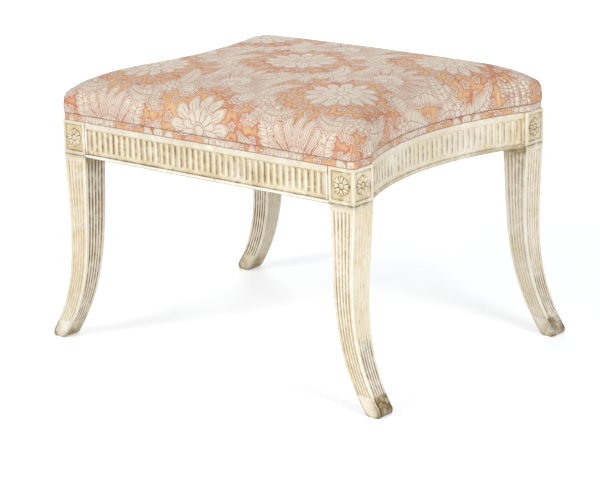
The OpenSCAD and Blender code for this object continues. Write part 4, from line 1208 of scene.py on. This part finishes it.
def damask_cloth():
    """Damask: satin figures that shine a little over a duller ribbed ground, whose apricot dye runs in uneven
    flames. Every outline is a thin rose line, and painted shade darkens the creases that the cover and bands
    mark."""
    material, tree, shader = finish_nodes("apricot_damask", 0.75, sheen_weight=0.04, sheen_roughness=0.4)
    shader.inputs["Specular IOR Level"].default_value = 0.15
    source = new_node(tree, "UVMap")
    source.uv_map = "cloth"
    place = source.outputs["UV"]
    u, v = [part*1000 for part in axes_of(tree, place)[:2]]
    moved = new_node(tree, "Mapping", location=(3.1, 1.7, 0))
    run = new_node(tree, "Mapping", scale=(0.45, 1, 1))
    joined(tree, (place, moved.inputs["Vector"]), (place, run.inputs["Vector"]))
    drawn_u = u + (cloudy(tree, place, 34, 2, 0.5) - 0.5)*9
    drawn_v = v + (cloudy(tree, moved.outputs[0], 34, 2, 0.5) - 0.5)*9
    figure, lines, shade = damask_pattern(drawn_u, drawn_v)
    flame = cloudy(tree, run.outputs[0], 62, 5, 0.65, 1.8)
    dye = cloudy(tree, place, 9, 3, 0.5)
    gold = blended(tree, ((flame - 0.4)*4.5).share(), from_screen(238, 205, 158), from_screen(228, 176, 126))
    rose = blended(tree, dye, from_screen(200, 106, 84), from_screen(214, 142, 114))
    ground = blended(tree, (shade*0.9 - (flame - 0.42)*3.2 + (dye - 0.44)*2.6).share(), gold, rose)
    ground = blended(tree, ((flame - 0.42)*2).share()*0.24 + 0.04, ground, from_screen(224, 204, 180))
    satin = blended(tree, ((flame - 0.3)*2.4).share(), from_screen(220, 210, 192), from_screen(235, 227, 211))
    satin = blended(tree, ((dye - 0.5)*3).share()*0.3, satin, from_screen(230, 210, 182))
    cloth = blended(tree, figure, ground, satin)
    cloth = blended(tree, lines*0.72, cloth, from_screen(186, 104, 78))
    rib = (v*(math.tau/0.9)).sine()*0.5 + 0.5
    thread = (u*(math.tau/0.7) + rib*1.5).sine()*0.5 + 0.5
    cloth = blended(tree, (rib*(1 - figure)*0.10 + thread*0.05).share(), cloth, from_screen(150, 96, 74))
    # Painted shade in the creases, a dark brown
    cloth = blended(tree, (point_share(tree, "painted_crease_shade")*0.8).share(), cloth, from_screen(112, 78, 56))
    tree.links.new(cloth, shader.inputs["Base Color"])
    tree.links.new((0.8 - figure*0.14).share().socket, shader.inputs["Roughness"])
    raised(tree, shader, figure*0.45 + rib*(1 - figure)*0.3 + thread*0.15 - lines*0.2, 0.0005)
    return material


cover_points, cover_uv, shares = cover_surface()
cover_points = pull_tight(cover_points)
damask = damask_cloth()
cover = ring_piece("damask_cover", cover_points, shares, damask, sharp=70, caps=(False, True), cloth=cover_uv)
thicken(cover, cover_t/1000, -1)
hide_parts("seat_cover")
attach(cover, "root")

# Cover bands. Four flat strips of the same damask, folded under along both edges, hide the
# cover's tacks. They are glued along its lower edge and mitred at the corners.
band_t, band_place = 1, 40
# Each band's side, and how far along the cloth it starts
bands = (("right", 36), ("back", 215), ("left", 95), ("front", 178))


def band_surface(start, stop, offset):
    """A flat strip with round edges along the outline from one mitre to the next, and its places in the
    cloth: the length along it and the height above the frame, each counted from a start of its own. Painted
    shade darkens its rounded upper and lower edges."""
    turn = np.radians(np.linspace(0, 360, 12, endpoint=False))
    out = np.sign(np.cos(turn))*abs(np.cos(turn))**0.6*band_t/2
    up = np.sign(np.sin(turn))*abs(np.sin(turn))**0.5*ledge_h/2
    inner = ledge_sink - soft_gap - cover_t - soft_gap/2
    outlines = seat_outline(inner - band_t/2 - out)
    total = outlines.shape[1]
    steps = np.arange(start, stop + 1) % total
    flat = outlines[:, steps].transpose(1, 0, 2)
    height = np.ones((len(steps), 1))*(frame_h + soft_gap + ledge_h/2 + up)
    length = np.concatenate([[0], np.cumsum(np.hypot(*np.diff(flat[:, 0], axis=0).T))])
    cloth = np.stack([length[:, None] + 0*height + offset, height - frame_h + band_place], -1)
    # Painted shade along the band's rounded upper and lower edges
    edges = as_share(abs(up)/ledge_h*8 - 3)*np.ones_like(height)
    return np.concatenate([flat, height[..., None]], -1)/1000, cloth/1000, {"painted_crease_shade": 0.7*edges}


half = 2*(quarter_points - 1)
mitres = (-mitre_point, mitre_point, half - mitre_point, half + mitre_point, 2*half - mitre_point)
for (band_name, offset), start, stop in zip(bands, mitres, mitres[1:]):
    points, uv, shares = band_surface(start, stop, offset)
    band = ring_piece("damask_band_" + band_name, points, shares, damask, sharp=50, cloth=uv)
    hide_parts("cover_band_" + band_name)
    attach(band, "root")

# Dust cover. Thin linen under the rails that keeps the dust in, turned under at its edge,
# cut out round the legs and pulled between blued tacks.
dust_t, dust_margin, dust_tack_pitch = 0.5, 8, 62
dust_slack, slack_w_share, dust_sag, sag_x, sag_y = 0.9, 0.09, 3.5, 250, 200


def dust_surface():
    """Rings from the sheet's edge to its middle. It sags by a parabola each way, and hangs a little in a row
    of cosine waves between its tacks."""
    r, d, w = end_r + dust_margin, half_d - dust_margin, half_w - block_w - fit_gap - 1
    y_cut = half_d - block_w - fit_gap - 1
    y = y_cut*np.linspace(0, 1, 66)
    arc = np.stack([arc_x(r, y), y], -1)
    corner = arc_x(r, y_cut)
    across = np.stack([corner + (w - corner)*np.linspace(0, 1, 10)[1:-1], y_cut + np.zeros(8)], -1)
    up = np.linspace(y_cut, d, 14)
    up = np.stack([w + 0*up, up], -1)
    side = w*np.linspace(1, 0, 84)[1:]
    side = np.stack([side, d + 0*side], -1)
    outline = mirrored(np.concatenate([arc, across, up, side]))
    shares = 1 - (np.arange(30)/29.6)**1.3
    points = outline[None]*shares[:, None, None]
    x, y = points[..., 0], points[..., 1]
    at_end = abs(outline[:, 0]) > w + 0.5
    run = np.where(at_end, outline[:, 1], outline[:, 0])
    shift = np.where(at_end, end_tacks % 2, side_tacks % 2)*0.5 + 0.5
    slack = 0.5 - 0.5*np.cos(2*np.pi*(run/dust_tack_pitch + shift + 0.5))
    wave = dust_slack*slack[None]*bell(1 - shares, slack_w_share)[:, None]
    sag = dust_sag*np.maximum(1 - (x/sag_x)**2, 0)*np.maximum(1 - (y/sag_y)**2, 0)
    z = rail_bottom - dust_t/2 - wave*(shares < 0.99)[:, None] - sag
    return np.concatenate([points, z[..., None]], -1)


side_tacks = math.floor(2*block_in_x/dust_tack_pitch)
end_tacks = math.floor(2*block_in_y/dust_tack_pitch)
lining = open_weave("linen_lining", 0.0009, from_screen(214, 202, 178), from_screen(176, 158, 128), 0.25)
sheet = ring_piece("linen_dust_cover", dust_surface()/1000, {}, lining, caps=(False, True))
thicken(sheet, dust_t/1000, 0)
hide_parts("dust_cover")
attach(sheet, "root")
sheet_area(sheet)
finish_node("dust_cover_tacks", tack_iron)
